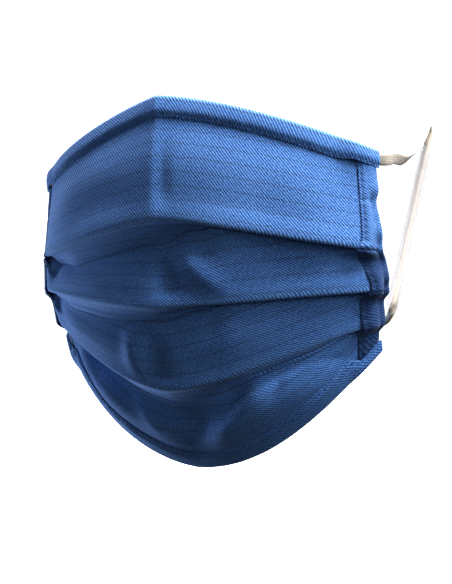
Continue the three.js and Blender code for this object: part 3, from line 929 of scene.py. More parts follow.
@dataclass(frozen=True)
class TwillCloth:
    """Blue cotton twill with rows of small dashes, drawn on the flat cloth in real sizes."""

    name: str
    raised: Colour
    sunk: Colour
    pale: Colour
    wale: float = 0.98 * MM
    wale_angle: float = math.radians(47)
    bead: float = 0.62 * MM
    row_gap: float = 5.2 * MM
    row_start: float = 0.0
    row_strength: float = 1.0
    row_reach: float = 0.6 * MM
    mottling: float = 0.55
    fuzz: float = 0.16
    relief: float = 0.13 * MM

    def weave(self, bench: Bench, u: Socket, v: Socket) -> tuple[Socket, Socket]:
        """Slanting ridges of the twill, broken into beads.

        Args:
            bench: Where the nodes are put.
            u: Place across the flat cloth.
            v: Place down the flat cloth.

        Returns:
            The plain ridges and the beaded ones, from 0 to 1.
        """
        sine, cosine = math.sin(self.wale_angle), math.cos(self.wale_angle)
        over = bench.times(u, sine / self.wale)
        over = bench.plus(v, -cosine / self.wale, over)
        over = bench.plus(bench.noise(u, v, 900, 1), 0.3, over)
        ridge = bench.wave(over)
        wale = bench.step(ridge, 0.22, 0.85)
        along = bench.times(u, cosine / self.bead)
        along = bench.plus(v, sine / self.bead, along)
        odd = bench.times(bench.math("FLOOR", bench.math("ADD", over, 0.5)), 0.5)
        bead = bench.wave(bench.math("ADD", along, odd))
        beaded = bench.times(wale, bench.plus(bead, 0.4, 0.6))
        mottle = bench.step(bench.noise(u, v, 1150, 1), 0.25, 0.75)
        beaded = bench.plus(bench.math("SUBTRACT", mottle, 0.5), self.mottling, beaded)
        return ridge, bench.math("MINIMUM", bench.math("MAXIMUM", beaded, 0.0), 1.0)

    def dashes(self, bench: Bench, v: Socket, ridge: Socket) -> Socket:
        """Rows of dark dashes between the ridges.

        Args:
            bench: Where the nodes are put.
            v: Place down the flat cloth.
            ridge: The twill's plain ridges.

        Returns:
            How dark the dashes are, from 0 to 1.
        """
        rows = bench.math("DIVIDE", bench.math("SUBTRACT", v, self.row_start), self.row_gap)
        away = bench.math("ABSOLUTE", bench.math("SUBTRACT", bench.math("FRACT", rows), 0.5))
        reach = self.row_reach / self.row_gap
        row = bench.math("SUBTRACT", 1.0, bench.step(away, 0.3 * reach, reach))
        dark = bench.math("SUBTRACT", 1.0, bench.step(ridge, 0.4, 0.8))
        return bench.times(bench.times(row, dark), 0.9 * self.row_strength)

    def make(self) -> Material:
        """Builds the material.

        Returns:
            The material.
        """
        bench = Bench(self.name)
        u, v = bench.flat()
        ridge, beaded = self.weave(bench, u, v)
        dots = self.dashes(bench, v, ridge)
        deep, shade = darker(self.sunk, 0.3), darker(self.raised, 0.8)
        tone = bench.mix(beaded, self.sunk, self.raised)
        tone = bench.mix(dots, tone, deep)
        clouds = bench.step(bench.noise(u, v, 55, 3), 0.3, 0.7)
        tone = bench.mix(bench.times(clouds, 0.14), tone, shade)
        fibres = bench.noise(u, v, 5200, 2)
        tone = bench.mix(bench.times(bench.step(fibres, 0.5, 0.72), self.fuzz), tone, self.pale)
        # Point attribute of the cloth: above zero a painted highlight with rubbed wear, paler on
        # the raised threads; below zero painted shade towards the deep colour.
        wear_and_painted_light = bench.tree.nodes.new("ShaderNodeAttribute")
        wear_and_painted_light.attribute_name = "wear_and_painted_light"
        highlight_and_rub = bench.math("MAXIMUM", wear_and_painted_light.outputs["Fac"], 0.0)
        highlight_and_rub = bench.times(highlight_and_rub, bench.math("ADD", beaded, 0.25))
        tone = bench.mix(bench.times(highlight_and_rub, 0.2), tone, self.pale)
        painted_shade = bench.math("MAXIMUM", bench.times(wear_and_painted_light.outputs["Fac"], -1.0), 0.0)
        tone = bench.mix(bench.times(painted_shade, 0.8), tone, deep)
        height = bench.plus(dots, -0.35, bench.plus(fibres, 0.15, bench.times(beaded, 0.8)))
        bench.bump(height, self.relief, 0.7)
        bench.set(
            Base_Color=tone,
            Roughness=0.86,
            Specular_IOR_Level=0.25,
            Sheen_Weight=0.12,
            Sheen_Roughness=0.45,
        )
        return bench.material


@dataclass(frozen=True)
class RibbedElastic:
    """Cream woven elastic with lengthwise ribs and a fine zigzag of threads."""

    name: str
    light: Colour
    dark: Colour
    rib: float = 0.62 * MM
    stitch: float = 0.5 * MM

    def make(self) -> Material:
        """Builds the material.

        Returns:
            The material.
        """
        bench = Bench(self.name)
        u, v = bench.flat()
        ribs = bench.wave(bench.math("DIVIDE", u, self.rib))
        slant = bench.plus(ribs, 0.45, bench.math("DIVIDE", v, self.stitch))
        threads = bench.wave(slant)
        fuzz = bench.noise(u, v, 4200, 2)
        body = bench.times(ribs, bench.plus(threads, 0.5, 0.5))
        tone = bench.mix(bench.step(body, 0.05, 0.6), self.dark, self.light)
        clouds = bench.step(bench.noise(u, v, 160, 2), 0.35, 0.7)
        tone = bench.mix(bench.times(clouds, 0.25), tone, self.dark)
        height = bench.plus(fuzz, 0.2, body)
        bench.bump(height, 0.1 * MM, 0.6)
        bench.set(
            Base_Color=tone,
            Roughness=0.8,
            Specular_IOR_Level=0.3,
            Sheen_Weight=0.1,
            Subsurface_Weight=0.12,
            Subsurface_Scale=0.6 * MM,
        )
        return bench.material


@dataclass(frozen=True)
class SoftTube:
    """Milky see-through plastic of the sleeves on the elastics."""

    name: str
    tint: Colour
    cover: float = 0.2
    streaked: float = 0.1

    def make(self) -> Material:
        """Builds the material.

        Returns:
            The material.
        """
        bench = Bench(self.name)
        u, v = bench.flat()
        streaks = bench.noise(u, bench.times(v, 0.12), 900, 2)
        haze = bench.noise(u, v, 260, 3)
        dull = darker(self.tint, 0.93)
        tone = bench.mix(bench.step(haze, 0.35, 0.7), self.tint, dull)
        rough = bench.plus(streaks, 0.22, 0.3)
        bench.bump(bench.plus(haze, 0.4, streaks), 0.02 * MM, 0.4)
        cover = bench.plus(bench.step(streaks, 0.3, 0.7), self.streaked, self.cover)
        bench.set(
            Base_Color=tone,
            Roughness=rough,
            IOR=1.38,
            Alpha=cover,
            Specular_IOR_Level=0.3,
        )
        return bench.material


@dataclass(frozen=True)
class SewingThread:
    """Twisted sewing thread."""

    name: str
    light: Colour
    dark: Colour

    def make(self) -> Material:
        """Builds the material.

        Returns:
            The material.
        """
        bench = Bench(self.name)
        u, v = bench.flat()
        turn = bench.plus(u, 2.0 / MM, bench.times(v, 1.6 / MM))
        ply = bench.wave(turn)
        tone = bench.mix(bench.step(ply, 0.15, 0.7), self.dark, self.light)
        bench.bump(ply, 0.08 * MM, 0.8)
        bench.set(Base_Color=tone, Roughness=0.6, Specular_IOR_Level=0.4, Sheen_Weight=0.1)
        return bench.material


@dataclass
class StitchRun:
    """A row of lockstitches along a line on a surface, in millimetres."""

    gap: float = 0.45
    radius: float = 0.15
    rise: float = 0.02
    sink: float = 0.3
    rings: int = 8
    sides: int = 6

    def make(
        self,
        name: str,
        lines: Lines,
        finish: Material,
    ) -> Object:
        """Builds all stitches of some lines as one piece.

        Args:
            name: Name of the piece.
            lines: Each line's points and the surface's outward directions there.
            finish: Material of the thread.

        Returns:
            The stitches.
        """
        points, uv, faces = [], [], []
        turn = np.linspace(0, 2 * np.pi, self.sides, endpoint=False)
        for line, normals in lines:
            length = travelled(line)
            count = max(1, int(length[-1] // STITCH_PITCH))
            pitch = length[-1] / count
            for number in range(count):
                low = number * pitch + self.gap / 2
                high = (number + 1) * pitch - self.gap / 2
                share = np.linspace(0, 1, self.rings)
                place = low + (high - low) * share
                spot = read_line(line, length, place)
                up = unit(read_line(normals, length, place))
                height = self.rise - (self.rise + self.sink) * np.abs(2 * share - 1) ** 4
                spot = spot + up * height[:, None]
                along = unit(np.gradient(spot, axis=0))
                across = unit(np.cross(along, up))
                lift = np.cross(across, along)
                thick = self.radius * (1 - 0.35 * np.abs(2 * share - 1) ** 6)
                ring = (
                    spot[:, None]
                    + across[:, None] * (np.cos(turn)[None, :, None] * thick[:, None, None])
                    + lift[:, None] * (np.sin(turn)[None, :, None] * thick[:, None, None])
                )
                first = len(points) * self.rings * self.sides
                points.append(ring.reshape(-1, 3))
                grid_u = np.broadcast_to(turn * self.radius * MM, ring.shape[:2])
                grid_v = np.broadcast_to(place[:, None] * MM, ring.shape[:2])
                uv.append(np.stack([grid_u, grid_v], -1).reshape(-1, 2))
                index, quads = ring_faces(self.rings, self.sides, first)
                faces += quads.tolist()
                faces += [index[0][::-1].tolist(), index[-1].tolist()]
        made = mixed_mesh(name, np.concatenate(points), faces, np.concatenate(uv))
        made.data.materials.append(finish)
        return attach(made, ROOT)


@dataclass
class PleatedBody:
    """The pleated cloth between the bands and the channels."""

    shape: WornShape
    finish: Material
    columns: int = 226
    panel_rows: tuple[int, ...] = (40, 27, 28, 40)
    fold_rows: int = 6
    valley_rows: int = 7
    valley_bow: float = 0.8
    highlight_and_wear_reach: float = 1.4
    edge_in_channel: float = 6.1
    cap: float = 1.3
    outside: float = 0.5
    inside: float = 0.5
    thin_at_fold: float = 0.25
    row_evening: float = 0.4
    lean: tuple[float, ...] = (0.0, -0.6, -0.75, -0.5)

    def rows(self, section: Section) -> tuple[list[Array], list[str]]:
        """Points of every row from the top edge to the bottom edge.

        Args:
            section: Where across the mask.

        Returns:
            The rows, and for each the word that says what it belongs to.
        """
        shape = self.shape
        rows, words = [], []
        clear = self.cap + shape.clearance
        for panel, count in enumerate(self.panel_rows, start=1):
            low = clear / shape.length(section, 1) if panel == 1 else 0.0
            high = 1 - clear / shape.length(section, 4) if panel == 4 else 1.0
            first = 0 if panel == 1 else 1
            last = count if panel == 4 else count - 1
            for step in range(first, last + 1):
                down = low + (high - low) * step / count
                rows.append(shape.panel_point(section, panel, down))
                words.append(f"panel{panel}")
            if panel < 4:
                pleat = section.pleats[panel - 1]
                self.add_fold(rows, words, pleat, "edge", "edge_tip", "edge_back", f"out{panel}")
                for step in range(1, self.valley_rows):
                    share = step / self.valley_rows
                    point = blend(pleat["edge_back"], pleat["back_front"], share)
                    bow = self.valley_bow * math.sin(math.pi * share) * pleat["soft"]
                    rows.append(point + shape.inward_at(section.across) * bow[:, None])
                    words.append(f"valley{panel}")
                self.add_fold(rows, words, pleat, "back_front", "back_tip", "back", f"in{panel}")
        return rows, words

    def flat_down(
        self, grid: Array, words: list[str], down: Array
    ) -> Array:
        """Place down the flat cloth, so that the rows of dashes follow the fold below them.

        Args:
            grid: Points of the cloth.
            words: What each row belongs to.
            down: Mean length from the top edge to each row.

        Returns:
            Millimetres down the flat cloth at each grid point.
        """
        out = np.repeat(down[:, None], grid.shape[1], axis=1)
        lengths = travelled(grid)
        blocks = []
        for panel in (1, 2, 3, 4):
            mine = [i for i, word in enumerate(words) if word == f"panel{panel}"]
            first, last = mine[0], mine[-1]
            block = lengths[last] - lengths[first]
            mean = down[last] - down[first]
            even = (mean / block) ** self.row_evening
            from_end = lengths[last][None] - lengths[first : last + 1]
            out[first : last + 1] = down[last] - from_end * even[None]
            blocks.append((first, last))
        for (_, last), (first, _) in zip(blocks, blocks[1:]):
            share = (lengths[last : first + 1] - lengths[last]) / (
                lengths[first] - lengths[last]
            )
            out[last : first + 1] = out[last] + (out[first] - out[last]) * share
        return out

    def add_fold(
        self,
        rows: list[Array],
        words: list[str],
        pleat: dict[str, Array],
        first: str,
        tip: str,
        last: str,
        word: str,
    ) -> None:
        """Adds the round rows of one fold.

        Args:
            rows: Rows so far.
            words: Words so far.
            pleat: Named points of the pleat.
            first: Name of the fold's first point.
            tip: Name of its outermost point.
            last: Name of its last point.
            word: What the rows are called.
        """
        start, end = pleat[first], pleat[last]
        push = (pleat[tip] - (start + end) / 2) * 4 / 3
        for step in range(self.fold_rows + 1):
            share = step / self.fold_rows
            rows.append(bezier(start, start + push, end + push, end, share))
            words.append(word)

    def make(self) -> Object:
        """Returns:
            The pleated cloth.
        """
        shape = self.shape
        edge = 1 - self.edge_in_channel / shape.line_length
        across = np.linspace(-edge, edge, self.columns)
        rows, words = self.rows(shape.section(across))
        grid = np.stack(rows)
        padded = np.concatenate([grid[:, :1]] * 2 + [grid] + [grid[:, -1:]] * 2, axis=1)
        eased = sum(padded[:, k : k + self.columns] * part for k, part in enumerate(EASING))
        eased[:, :2], eased[:, -2:] = grid[:, :2], grid[:, -2:]
        grid = eased
        calm = np.abs(across) < 0.9
        steps = np.linalg.norm(np.diff(grid, axis=0), axis=2)[:, calm].mean(axis=1)
        down = np.concatenate([[0], np.cumsum(steps)])
        uv = np.zeros(grid.shape[:2] + (2,))
        pull = np.array([self.lean[int(w[-1]) - 1] if "panel" in w else 0.0 for w in words])
        sideways = np.concatenate([[0], np.cumsum(np.diff(down) * pull[1:])])
        uv[..., 0] = (across[None] * shape.line_length + sideways[:, None]) * MM
        uv[..., 1] = self.flat_down(grid, words, down) * MM
        # Paler outer fold edges: rubbed wear with a painted highlight.
        wear_and_painted_light = np.zeros(grid.shape[:2])
        for number in (1, 2, 3):
            rim = [i for i, word in enumerate(words) if word == f"out{number}"]
            reach = np.abs(down - down[rim].mean())
            wear_and_painted_light += bell(reach, self.highlight_and_wear_reach)[:, None]
        wear_and_painted_light = np.clip(wear_and_painted_light, 0, 1)
        outside = self.outside - self.thin_at_fold * wear_and_painted_light
        made = thick_sheet("pleated_body_cloth", grid, uv, outside, self.inside, wear_and_painted_light)
        made.data.materials.append(self.finish)
        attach(made, ROOT)
        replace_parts(made, "pleated_body")
        return made


@dataclass
class EdgeBand:
    """A folded binding along the top or bottom edge."""

    edge: Edge
    shape: WornShape
    finish: Material
    thread: Material
    stations: int = 250
    leg_points: int = 14
    turn_points: int = 9
    cap: float = 1.3
    stitch_from_end: float = 0.9
    puff: float = 0.12
    hug: float = 0.55
    inner_end: float = 2.6
    highlight_and_wear_reach: float = 1.6
    least_slant: float = 0.68

    @property
    def widths(self) -> tuple[float, float]:
        """Width of the front leg in the middle and at the ends."""
        return (8.5, 7.0) if self.edge is Edge.TOP else (7.5, 5.4)

    @property
    def panel(self) -> int:
        """Number of the panel whose edge is bound."""
        return 1 if self.edge is Edge.TOP else 4

    def slant(self, across: Array, down: Array) -> Array:
        """How square the bottom edge is to the cloth, so that the band keeps its width."""
        before = self.shape.line_at(4, np.clip(across - 0.02, -1, 1))
        after = self.shape.line_at(4, np.clip(across + 0.02, -1, 1))
        crossed = np.linalg.norm(np.cross(unit(after - before), down), axis=1)
        return np.maximum(self.least_slant, crossed)

    def outline(
        self, half_gap: Array, outer: Array, inner: Array
    ) -> tuple[Array, Array, Array]:
        """Middle of the folded cloth, from the front leg's end over the edge to the inner end.

        Args:
            half_gap: Half the space between the legs, at each station.
            outer: Width of the front leg.
            inner: Width of the inner leg.

        Returns:
            Inward distances, distances from the edge, and shares of the full thickness.
        """
        half = half_gap + self.shape.binding_wall / 2
        turn_start = self.cap + 0.4
        rows_x, rows_y, rows_thick = [], [], []
        for step in range(self.leg_points):
            share = step / self.leg_points
            y = outer + (turn_start - outer) * share
            from_end = outer - y
            pinch = bell(from_end - self.stitch_from_end, 0.6)
            lip = bell(from_end, 1.5)
            puff = self.puff * np.sin(np.pi * np.clip(share - 0.05, 0, 1))
            rows_x.append(-half - puff + 0.12 * pinch + self.hug * lip)
            rows_y.append(y)
            rows_thick.append(1 - 0.5 * lip)
        for step in range(self.turn_points + 1):
            angle = math.pi * step / self.turn_points
            round_off = math.copysign(abs(math.cos(angle)) ** 0.8, math.cos(angle))
            rows_x.append(-half * round_off)
            height = 0.5 + (self.cap - 0.1) * (1 - math.sin(angle))
            rows_y.append(np.full_like(half, height))
            rows_thick.append(np.ones_like(half))
        for step in range(1, self.leg_points + 1):
            share = step / self.leg_points
            y = turn_start + (inner - turn_start) * share
            lip = bell(inner - y, 1.2)
            rows_x.append(half - self.hug * lip + 0.15 * math.sin(math.pi * share))
            rows_y.append(y)
            rows_thick.append(1 - 0.4 * lip)
        return np.stack(rows_x), np.stack(rows_y), np.stack(rows_thick)

    def make(self) -> list[Object]:
        """Builds the band and its stitches.

        Returns:
            The band and the stitches.
        """
        shape, panel, at_top = self.shape, self.panel, self.edge is Edge.TOP
        across = np.linspace(-1, 1, self.stations)
        section = shape.section(across)
        start, end = section.starts[panel - 1], section.ends[panel - 1]
        length = shape.length(section, panel)
        near_end = smooth(np.abs(across), 0.8, 0.9)
        body_gap = shape.wall / 2 + shape.clearance
        channel_gap = body_gap + shape.binding_wall + 1.5 * shape.clearance
        half_gap = body_gap + (channel_gap - body_gap) * near_end
        slant = 1.0 if at_top else self.slant(across, unit(end - start))
        middle, last = self.widths
        width = middle / slant + (last - middle / slant) * near_end
        inner = width - 1
        if not at_top:
            inner = inner + (self.inner_end - inner) * near_end
        xs, ys, thick = self.outline(half_gap, width, inner)
        pucker = 0.05 * np.sin(across * shape.line_length * 2 * np.pi / STITCH_PITCH)
        pucker = pucker + 0.1 * np.sin(across * 41 + 1.3 * np.sin(across * 17))
        leg = np.arange(len(xs)) < self.leg_points
        grid = []
        for x, y, front in zip(xs, ys, leg):
            down = y / length if at_top else 1 - y / length
            point = shape.panel_point(section, panel, down)
            inward = shape.panel_inward(section, panel, down)
            extra = pucker * bell(width - y - self.stitch_from_end, 1.2)
            grid.append(point + inward * (x + (extra if front else 0))[:, None])
        grid = np.stack(grid)
        down = travelled(grid).mean(axis=1)
        # Paler rim where the band folds over the edge: rubbed wear with a painted highlight.
        reach = np.abs(down - down[self.leg_points + self.turn_points // 2])
        wear_and_painted_light = np.broadcast_to(bell(reach, self.highlight_and_wear_reach)[:, None], grid.shape[:2])
        half_wall = shape.binding_wall / 2 * thick
        name = f"{self.edge.value}_band"
        made = thick_sheet(
            f"{name}_cloth", grid, self.flat_place(grid), half_wall, half_wall, wear_and_painted_light
        )
        made.data.materials.append(self.finish)
        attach(made, ROOT)
        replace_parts(made, name)
        stitches = StitchRun().make(
            f"{name}_stitches", self.stitch_lines(grid, width, ys, across), self.thread
        )
        return [made, stitches]

    def flat_place(self, grid: Array) -> Array:
        """Place on the flat cloth, square to the rim.

        Args:
            grid: Middle of the band's cloth in millimetres.

        Returns:
            Two numbers in metres for each point.
        """
        crossed = travelled(grid)
        crossed = crossed - crossed[self.leg_points]
        rim = grid[self.leg_points]
        along = unit(np.gradient(rim, axis=0))
        skew = np.sum((grid - rim[None]) * along[None], axis=2)
        square = np.sqrt(np.maximum(crossed**2 - skew**2, 0)) * np.sign(crossed)
        square = -square if self.edge is Edge.TOP else square
        return np.stack([travelled(rim)[None] + skew, square], -1) * MM

    def stitch_lines(
        self, grid: Array, width: Array, ys: Array, across: Array
    ) -> Lines:
        """Lines that the stitches follow on the front and inner legs.

        Args:
            grid: Middle of the band's cloth.
            width: Width of the front leg at each station.
            ys: Distance of each row from the edge.
            across: Place of each station.

        Returns:
            Points and outward directions of each line.
        """
        lines = []
        for front in (True, False):
            rows = range(self.leg_points) if front else range(-self.leg_points, 0)
            rows = [r % len(grid) for r in rows]
            goal = width - self.stitch_from_end if front else ys[-1] - 0.5
            gaps = np.abs(ys[rows] - goal[None])
            pick = np.array(rows)[gaps.argmin(axis=0)]
            share_grid = self.exact(grid, ys, rows, goal)
            neighbours = np.clip(pick + 1, 0, len(grid) - 1)
            stations = np.arange(len(across))
            along = unit(np.gradient(share_grid, axis=0))
            down = unit(grid[neighbours, stations] - grid[pick - 1, stations])
            normal = unit(np.cross(down, along))
            inward = self.shape.inward_at(across)
            facing = np.sign(np.sum(normal * inward, axis=1, keepdims=True))
            normal = normal * facing * (-1 if front else 1)
            keep = np.abs(across) < 0.985
            surface = share_grid + normal * self.shape.binding_wall * 0.38
            lines.append((surface[keep], normal[keep]))
        return lines

    @staticmethod
    def exact(
        grid: Array, ys: Array, rows: list[int], goal: Array
    ) -> Array:
        """Points of a leg at a wanted distance from the edge.

        Args:
            grid: Middle of the band's cloth.
            ys: Distance of each row from the edge.
            rows: Rows of the leg.
            goal: Wanted distance at each station.

        Returns:
            One point for each station.
        """
        out = []
        for station in range(grid.shape[1]):
            picked = np.array(rows)[np.argsort(ys[rows, station])]
            out.append(read_line(grid[picked, station], ys[picked, station], goal[station]))
        return np.concatenate(out)


# Rows down a side channel: panel, measured from (the fold above or the own fold), distance in
# millimetres, pleat steps hidden behind, millimetres added to the front leg's width
CHANNEL_ROWS = (
    (1, "below", 5.8, 0, 0),
    (1, "below", 11, 0, 0),
    (1, "above", 20.5, 0, 0),
    (1, "above", 16.8, 1, 0),
    (1, "above", 10.5, 1, 0),
    (1, "above", 5, 1, 0.2),
    (1, "above", 1.3, 2, 0.6),
    (1, "above", -1.2, 2, 2.4),
    (2, "below", 4.6, 1, 3.6),
    (2, "above", 4, 1, 1.6),
    (2, "above", 0.9, 2, 1.5),
    (2, "above", -0.9, 2, 2.2),
    (3, "below", 4.2, 1, 3.0),
    (3, "above", 3, 1, 3.0),
    (3, "above", -0.9, 1, 2.6),
    (4, "below", 4.2, 0, 2.2),
    (4, "below", 4.9, 0, 2.2),
    (4, "reach", 3.9, 0, 2.0),
)

# Creases across a side channel: row of the table above, depth and reach in millimetres
CHANNEL_CREASES = ((3, 0.25, 0.8), (7, 1.1, 0.55), (11, 0.6, 0.6))


@dataclass
class SideChannel:
    """A folded strip over the pleated side, with the elastic's tunnel along its border."""

    side: Side
    shape: WornShape
    finish: Material
    thread: Material
    width: float = 8.4
    half_gap: float = 1.2
    tunnel_centre: float = 2.7
    row_count: int = 170
    path_count: int = 54
    stitch_from_end: float = 1.1
    hug: float = 0.5
    layer_weight: float = 2.2
    # Paleness of the border, rubbed wear with a painted highlight, and painted shade on the middle
    # and lower parts of the strip.
    rim_highlight_and_rub: float = 0.8
    middle_painted_shade: float = 0.15
    lower_painted_shade: float = 0.75

    def path(self) -> Array:
        """Middle of the folded strip as distance from the border, layer and inward depth."""
        leg = self.shape.wall / 2 + self.shape.clearance + self.shape.binding_wall / 2
        tunnel = self.half_gap + self.shape.binding_wall / 2
        table = [
            (self.width, 0, -leg),
            (6.9, 0, -leg),
            (5.6, 0.04, -leg),
            (3.6, 0.48, -tunnel),
            (1.35, 0.5, -tunnel + 0.25),
            (0.5, 0.5, 0),
            (1.35, 0.5, tunnel - 0.25),
            (3.5, 0.52, tunnel),
            (5.3, 0.96, leg),
            (6.9, 1, leg),
            (self.width, 1, leg),
        ]
        table = np.array(table, float)
        knots = travelled(table * np.array([1, self.layer_weight, 1]))
        table = spline(knots, table, np.linspace(0, knots[-1], self.path_count))
        from_edge = np.where(table[:, 0] > 5, self.width - table[:, 0], 9)
        lip = bell(from_edge, 1.5)
        table[:, 2] -= np.sign(table[:, 2]) * self.hug * lip
        return table

    def row_points(
        self, row: tuple[int, str, float, int, float], path: Array
    ) -> Array:
        """Points of the strip at one row.

        Args:
            row: A row of the table.
            path: Distance from the border, layer and inward depth of each point.

        Returns:
            One point for each path point.
        """
        panel, word, distance, behind, wider = row
        front_leg = smooth(path[:, 0], 3.6, self.width) * (path[:, 1] < 0.5)
        out = path[:, 0] + wider * front_leg
        across = self.side.value * (1 - out / self.shape.line_length)
        section = self.shape.section(across)
        end = section.ends[panel - 1]
        upper = section.starts[0] if panel == 1 else section.ends[panel - 2]
        level = upper[:, 2] - distance if word == "below" else end[:, 2] + distance
        if word == "reach":
            back_end = upper[:, 2] - 5.2
            level = level + (back_end - level) * smooth(path[:, 2], -1.2, 1.2)
        hidden = panel + behind
        front = self.shape.panel_point(section, panel, self.share(section, panel, level))
        back = self.shape.panel_point(section, hidden, self.share(section, hidden, level))
        inward = self.shape.inward_at(across)
        return blend(front, back, path[:, 1]) + inward * path[:, 2:3]

    @staticmethod
    def share(section: Section, panel: int, level: Array) -> Array:
        """Share of the way down a panel at a given level."""
        start, end = section.starts[panel - 1], section.ends[panel - 1]
        return (start[:, 2] - level) / (start[:, 2] - end[:, 2])

    def make(self) -> list[Object]:
        """Builds the channel and its stitches.

        Returns:
            The channel and the stitches.
        """
        path = self.path()
        coarse = np.stack([self.row_points(row, path) for row in CHANNEL_ROWS])
        knots = travelled(coarse).mean(axis=1)
        places = np.linspace(0, knots[-1], self.row_count)
        flat = coarse.reshape(len(coarse), -1)
        grid = spline(knots, flat, places).reshape(self.row_count, self.path_count, 3)
        across = self.side.value * (1 - path[:, 0] / self.shape.line_length)
        inward = self.shape.inward_at(across)
        front = path[:, 1] <= 0.5
        grid = grid + self.creases(places, knots, path, front)[..., None] * inward[None]
        widths = np.linalg.norm(np.diff(grid, axis=1), axis=2).mean(axis=0)
        out = np.concatenate([[0], np.cumsum(widths)])
        uv = np.zeros(grid.shape[:2] + (2,))
        uv[..., 0] = out[None] * MM
        uv[..., 1] = places[:, None] * MM
        wear_and_painted_light = self.wear_and_painted_light(places, knots, out)
        from_edge = np.minimum(out, out[-1] - out)
        thin = 1 - 0.5 * bell(from_edge, 1.5)
        half_wall = self.shape.binding_wall / 2 * thin[None]
        name = f"side_channel_{self.side.word}"
        made = thick_sheet(f"{name}_cloth", grid, uv, half_wall, half_wall, wear_and_painted_light)
        made.data.materials.append(self.finish)
        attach(made, ROOT)
        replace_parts(made, name)
        stitches = StitchRun().make(
            f"{name}_stitches", self.stitch_lines(grid, out, inward), self.thread
        )
        return [made, stitches]

    def wear_and_painted_light(self, places: Array, knots: Array, out: Array) -> Array:
        """Paler along the border, rubbed wear with a painted highlight, and painted shade down the
        strip.

        Args:
            places: Length down the strip of each row.
            knots: The same of each row of the table.
            out: Length along the outline of each of its points.

        Returns:
            Paleness above zero and painted shade below, rows by outline points.
        """
        rim_highlight_and_rub = self.rim_highlight_and_rub * bell(out - out[len(out) // 2], 1.3)
        # Painted shade: slight from the lower half of the top panel down, deep below the first
        # fold.
        lower = smooth(places, knots[6] + 0.6, knots[7] + 0.4)
        middle = smooth(places, knots[3], knots[4])
        dark = self.middle_painted_shade * middle + self.lower_painted_shade * lower
        return rim_highlight_and_rub[None] * (1 - lower[:, None]) - dark[:, None]

    def creases(
        self, places: Array, knots: Array, path: Array, front: Array
    ) -> Array:
        """Creases where the strip steps down over a fold, and puckers at its stitches.

        Args:
            places: Length down the strip of each row.
            knots: The same of each row of the table.
            path: The strip's outline.
            front: Which outline points are on the front.

        Returns:
            Inward distances, rows by outline points.
        """
        depth = np.zeros((len(places), len(path)))
        for row, deep, reach in CHANNEL_CREASES:
            depth += deep * bell(places - knots[row], reach)[:, None] * front[None]
        pinch = bell(self.width - path[:, 0] - self.stitch_from_end, 0.6)
        pucker = 0.22 + 0.1 * np.sin(places * 2 * np.pi / STITCH_PITCH)
        turned = np.where(front, 1, -1)
        return depth + pucker[:, None] * (pinch * turned)[None]

    def stitch_lines(
        self, grid: Array, out: Array, inward: Array
    ) -> Lines:
        """Lines that the stitches follow on the front and the back of the strip.

        Args:
            grid: Middle of the strip's cloth.
            out: Length along the outline of each of its points.
            inward: Direction towards the face at each outline point.

        Returns:
            Points and outward directions of each line.
        """
        lines = []
        for sign, goal in ((-1, self.stitch_from_end), (1, out[-1] - self.stitch_from_end)):
            spot = int(np.abs(out - goal).argmin())
            line = grid[:, spot]
            along = unit(np.gradient(line, axis=0))
            facing = inward[spot] * sign
            normal = unit(facing[None] - along * (along @ facing)[:, None])
            surface = line + normal * self.shape.binding_wall * 0.36
            lines.append((surface[2:-2], normal[2:-2]))
        return lines


# Elastic inside the channel's upper end: below the fold, from the border, depth, whether it
# leans, width and thickness against the plain elastic
LOOP_START = (
    (7.5, 2.5, 0.1, True, 0.5, 0.8),
    (4.0, 2.2, 0, True, 0.6, 1),
    (3.2, 0.2, 0, False, 0.86, 1),
)
# Elastic going back into the channel's lower end: below the fold, and depth
LOOP_END = ((3, 5.0), (5.6, 4.4), (6.4, 2.9), (6.6, 1.6), (5.8, 0.5))

# Free part of an ear loop: sideways, back and down in metres, lean of the flat side in degrees,
# width and thickness against the plain elastic
LOOP_ROUTE = (
    (0.0795, 0.0285, 0.0266, 0, 1, 1),
    (0.0805, 0.034, 0.0254, 10, 1, 1),
    (0.0802, 0.050, 0.0238, 35, 0.95, 1),
    (0.080, 0.066, 0.018, 60, 0.88, 1),
    (0.080, 0.080, 0.0095, 85, 0.8, 1.1),
    (0.080, 0.087, 0.0042, 88, 0.75, 1.2),
    (0.080, 0.0885, 0.0065, 88, 0.7, 1.3),
    (0.080, 0.086, 0.0125, 60, 0.66, 1.46),
    (0.0797, 0.0747, 0.0288, 45, 0.66, 1.46),
    (0.0793, 0.0619, 0.0476, 30, 0.66, 1.46),
    (0.0789, 0.0494, 0.066, 15, 0.66, 1.46),
    (0.0785, 0.0384, 0.0826, 0, 0.66, 1.46),
    (0.075, 0.041, 0.0864, 0, 0.6, 1.1),
)
SLEEVE_TOP = (0.080, 0.0845, 0.0145)
SLEEVE_BOTTOM = (0.07855, 0.0393, 0.0808)


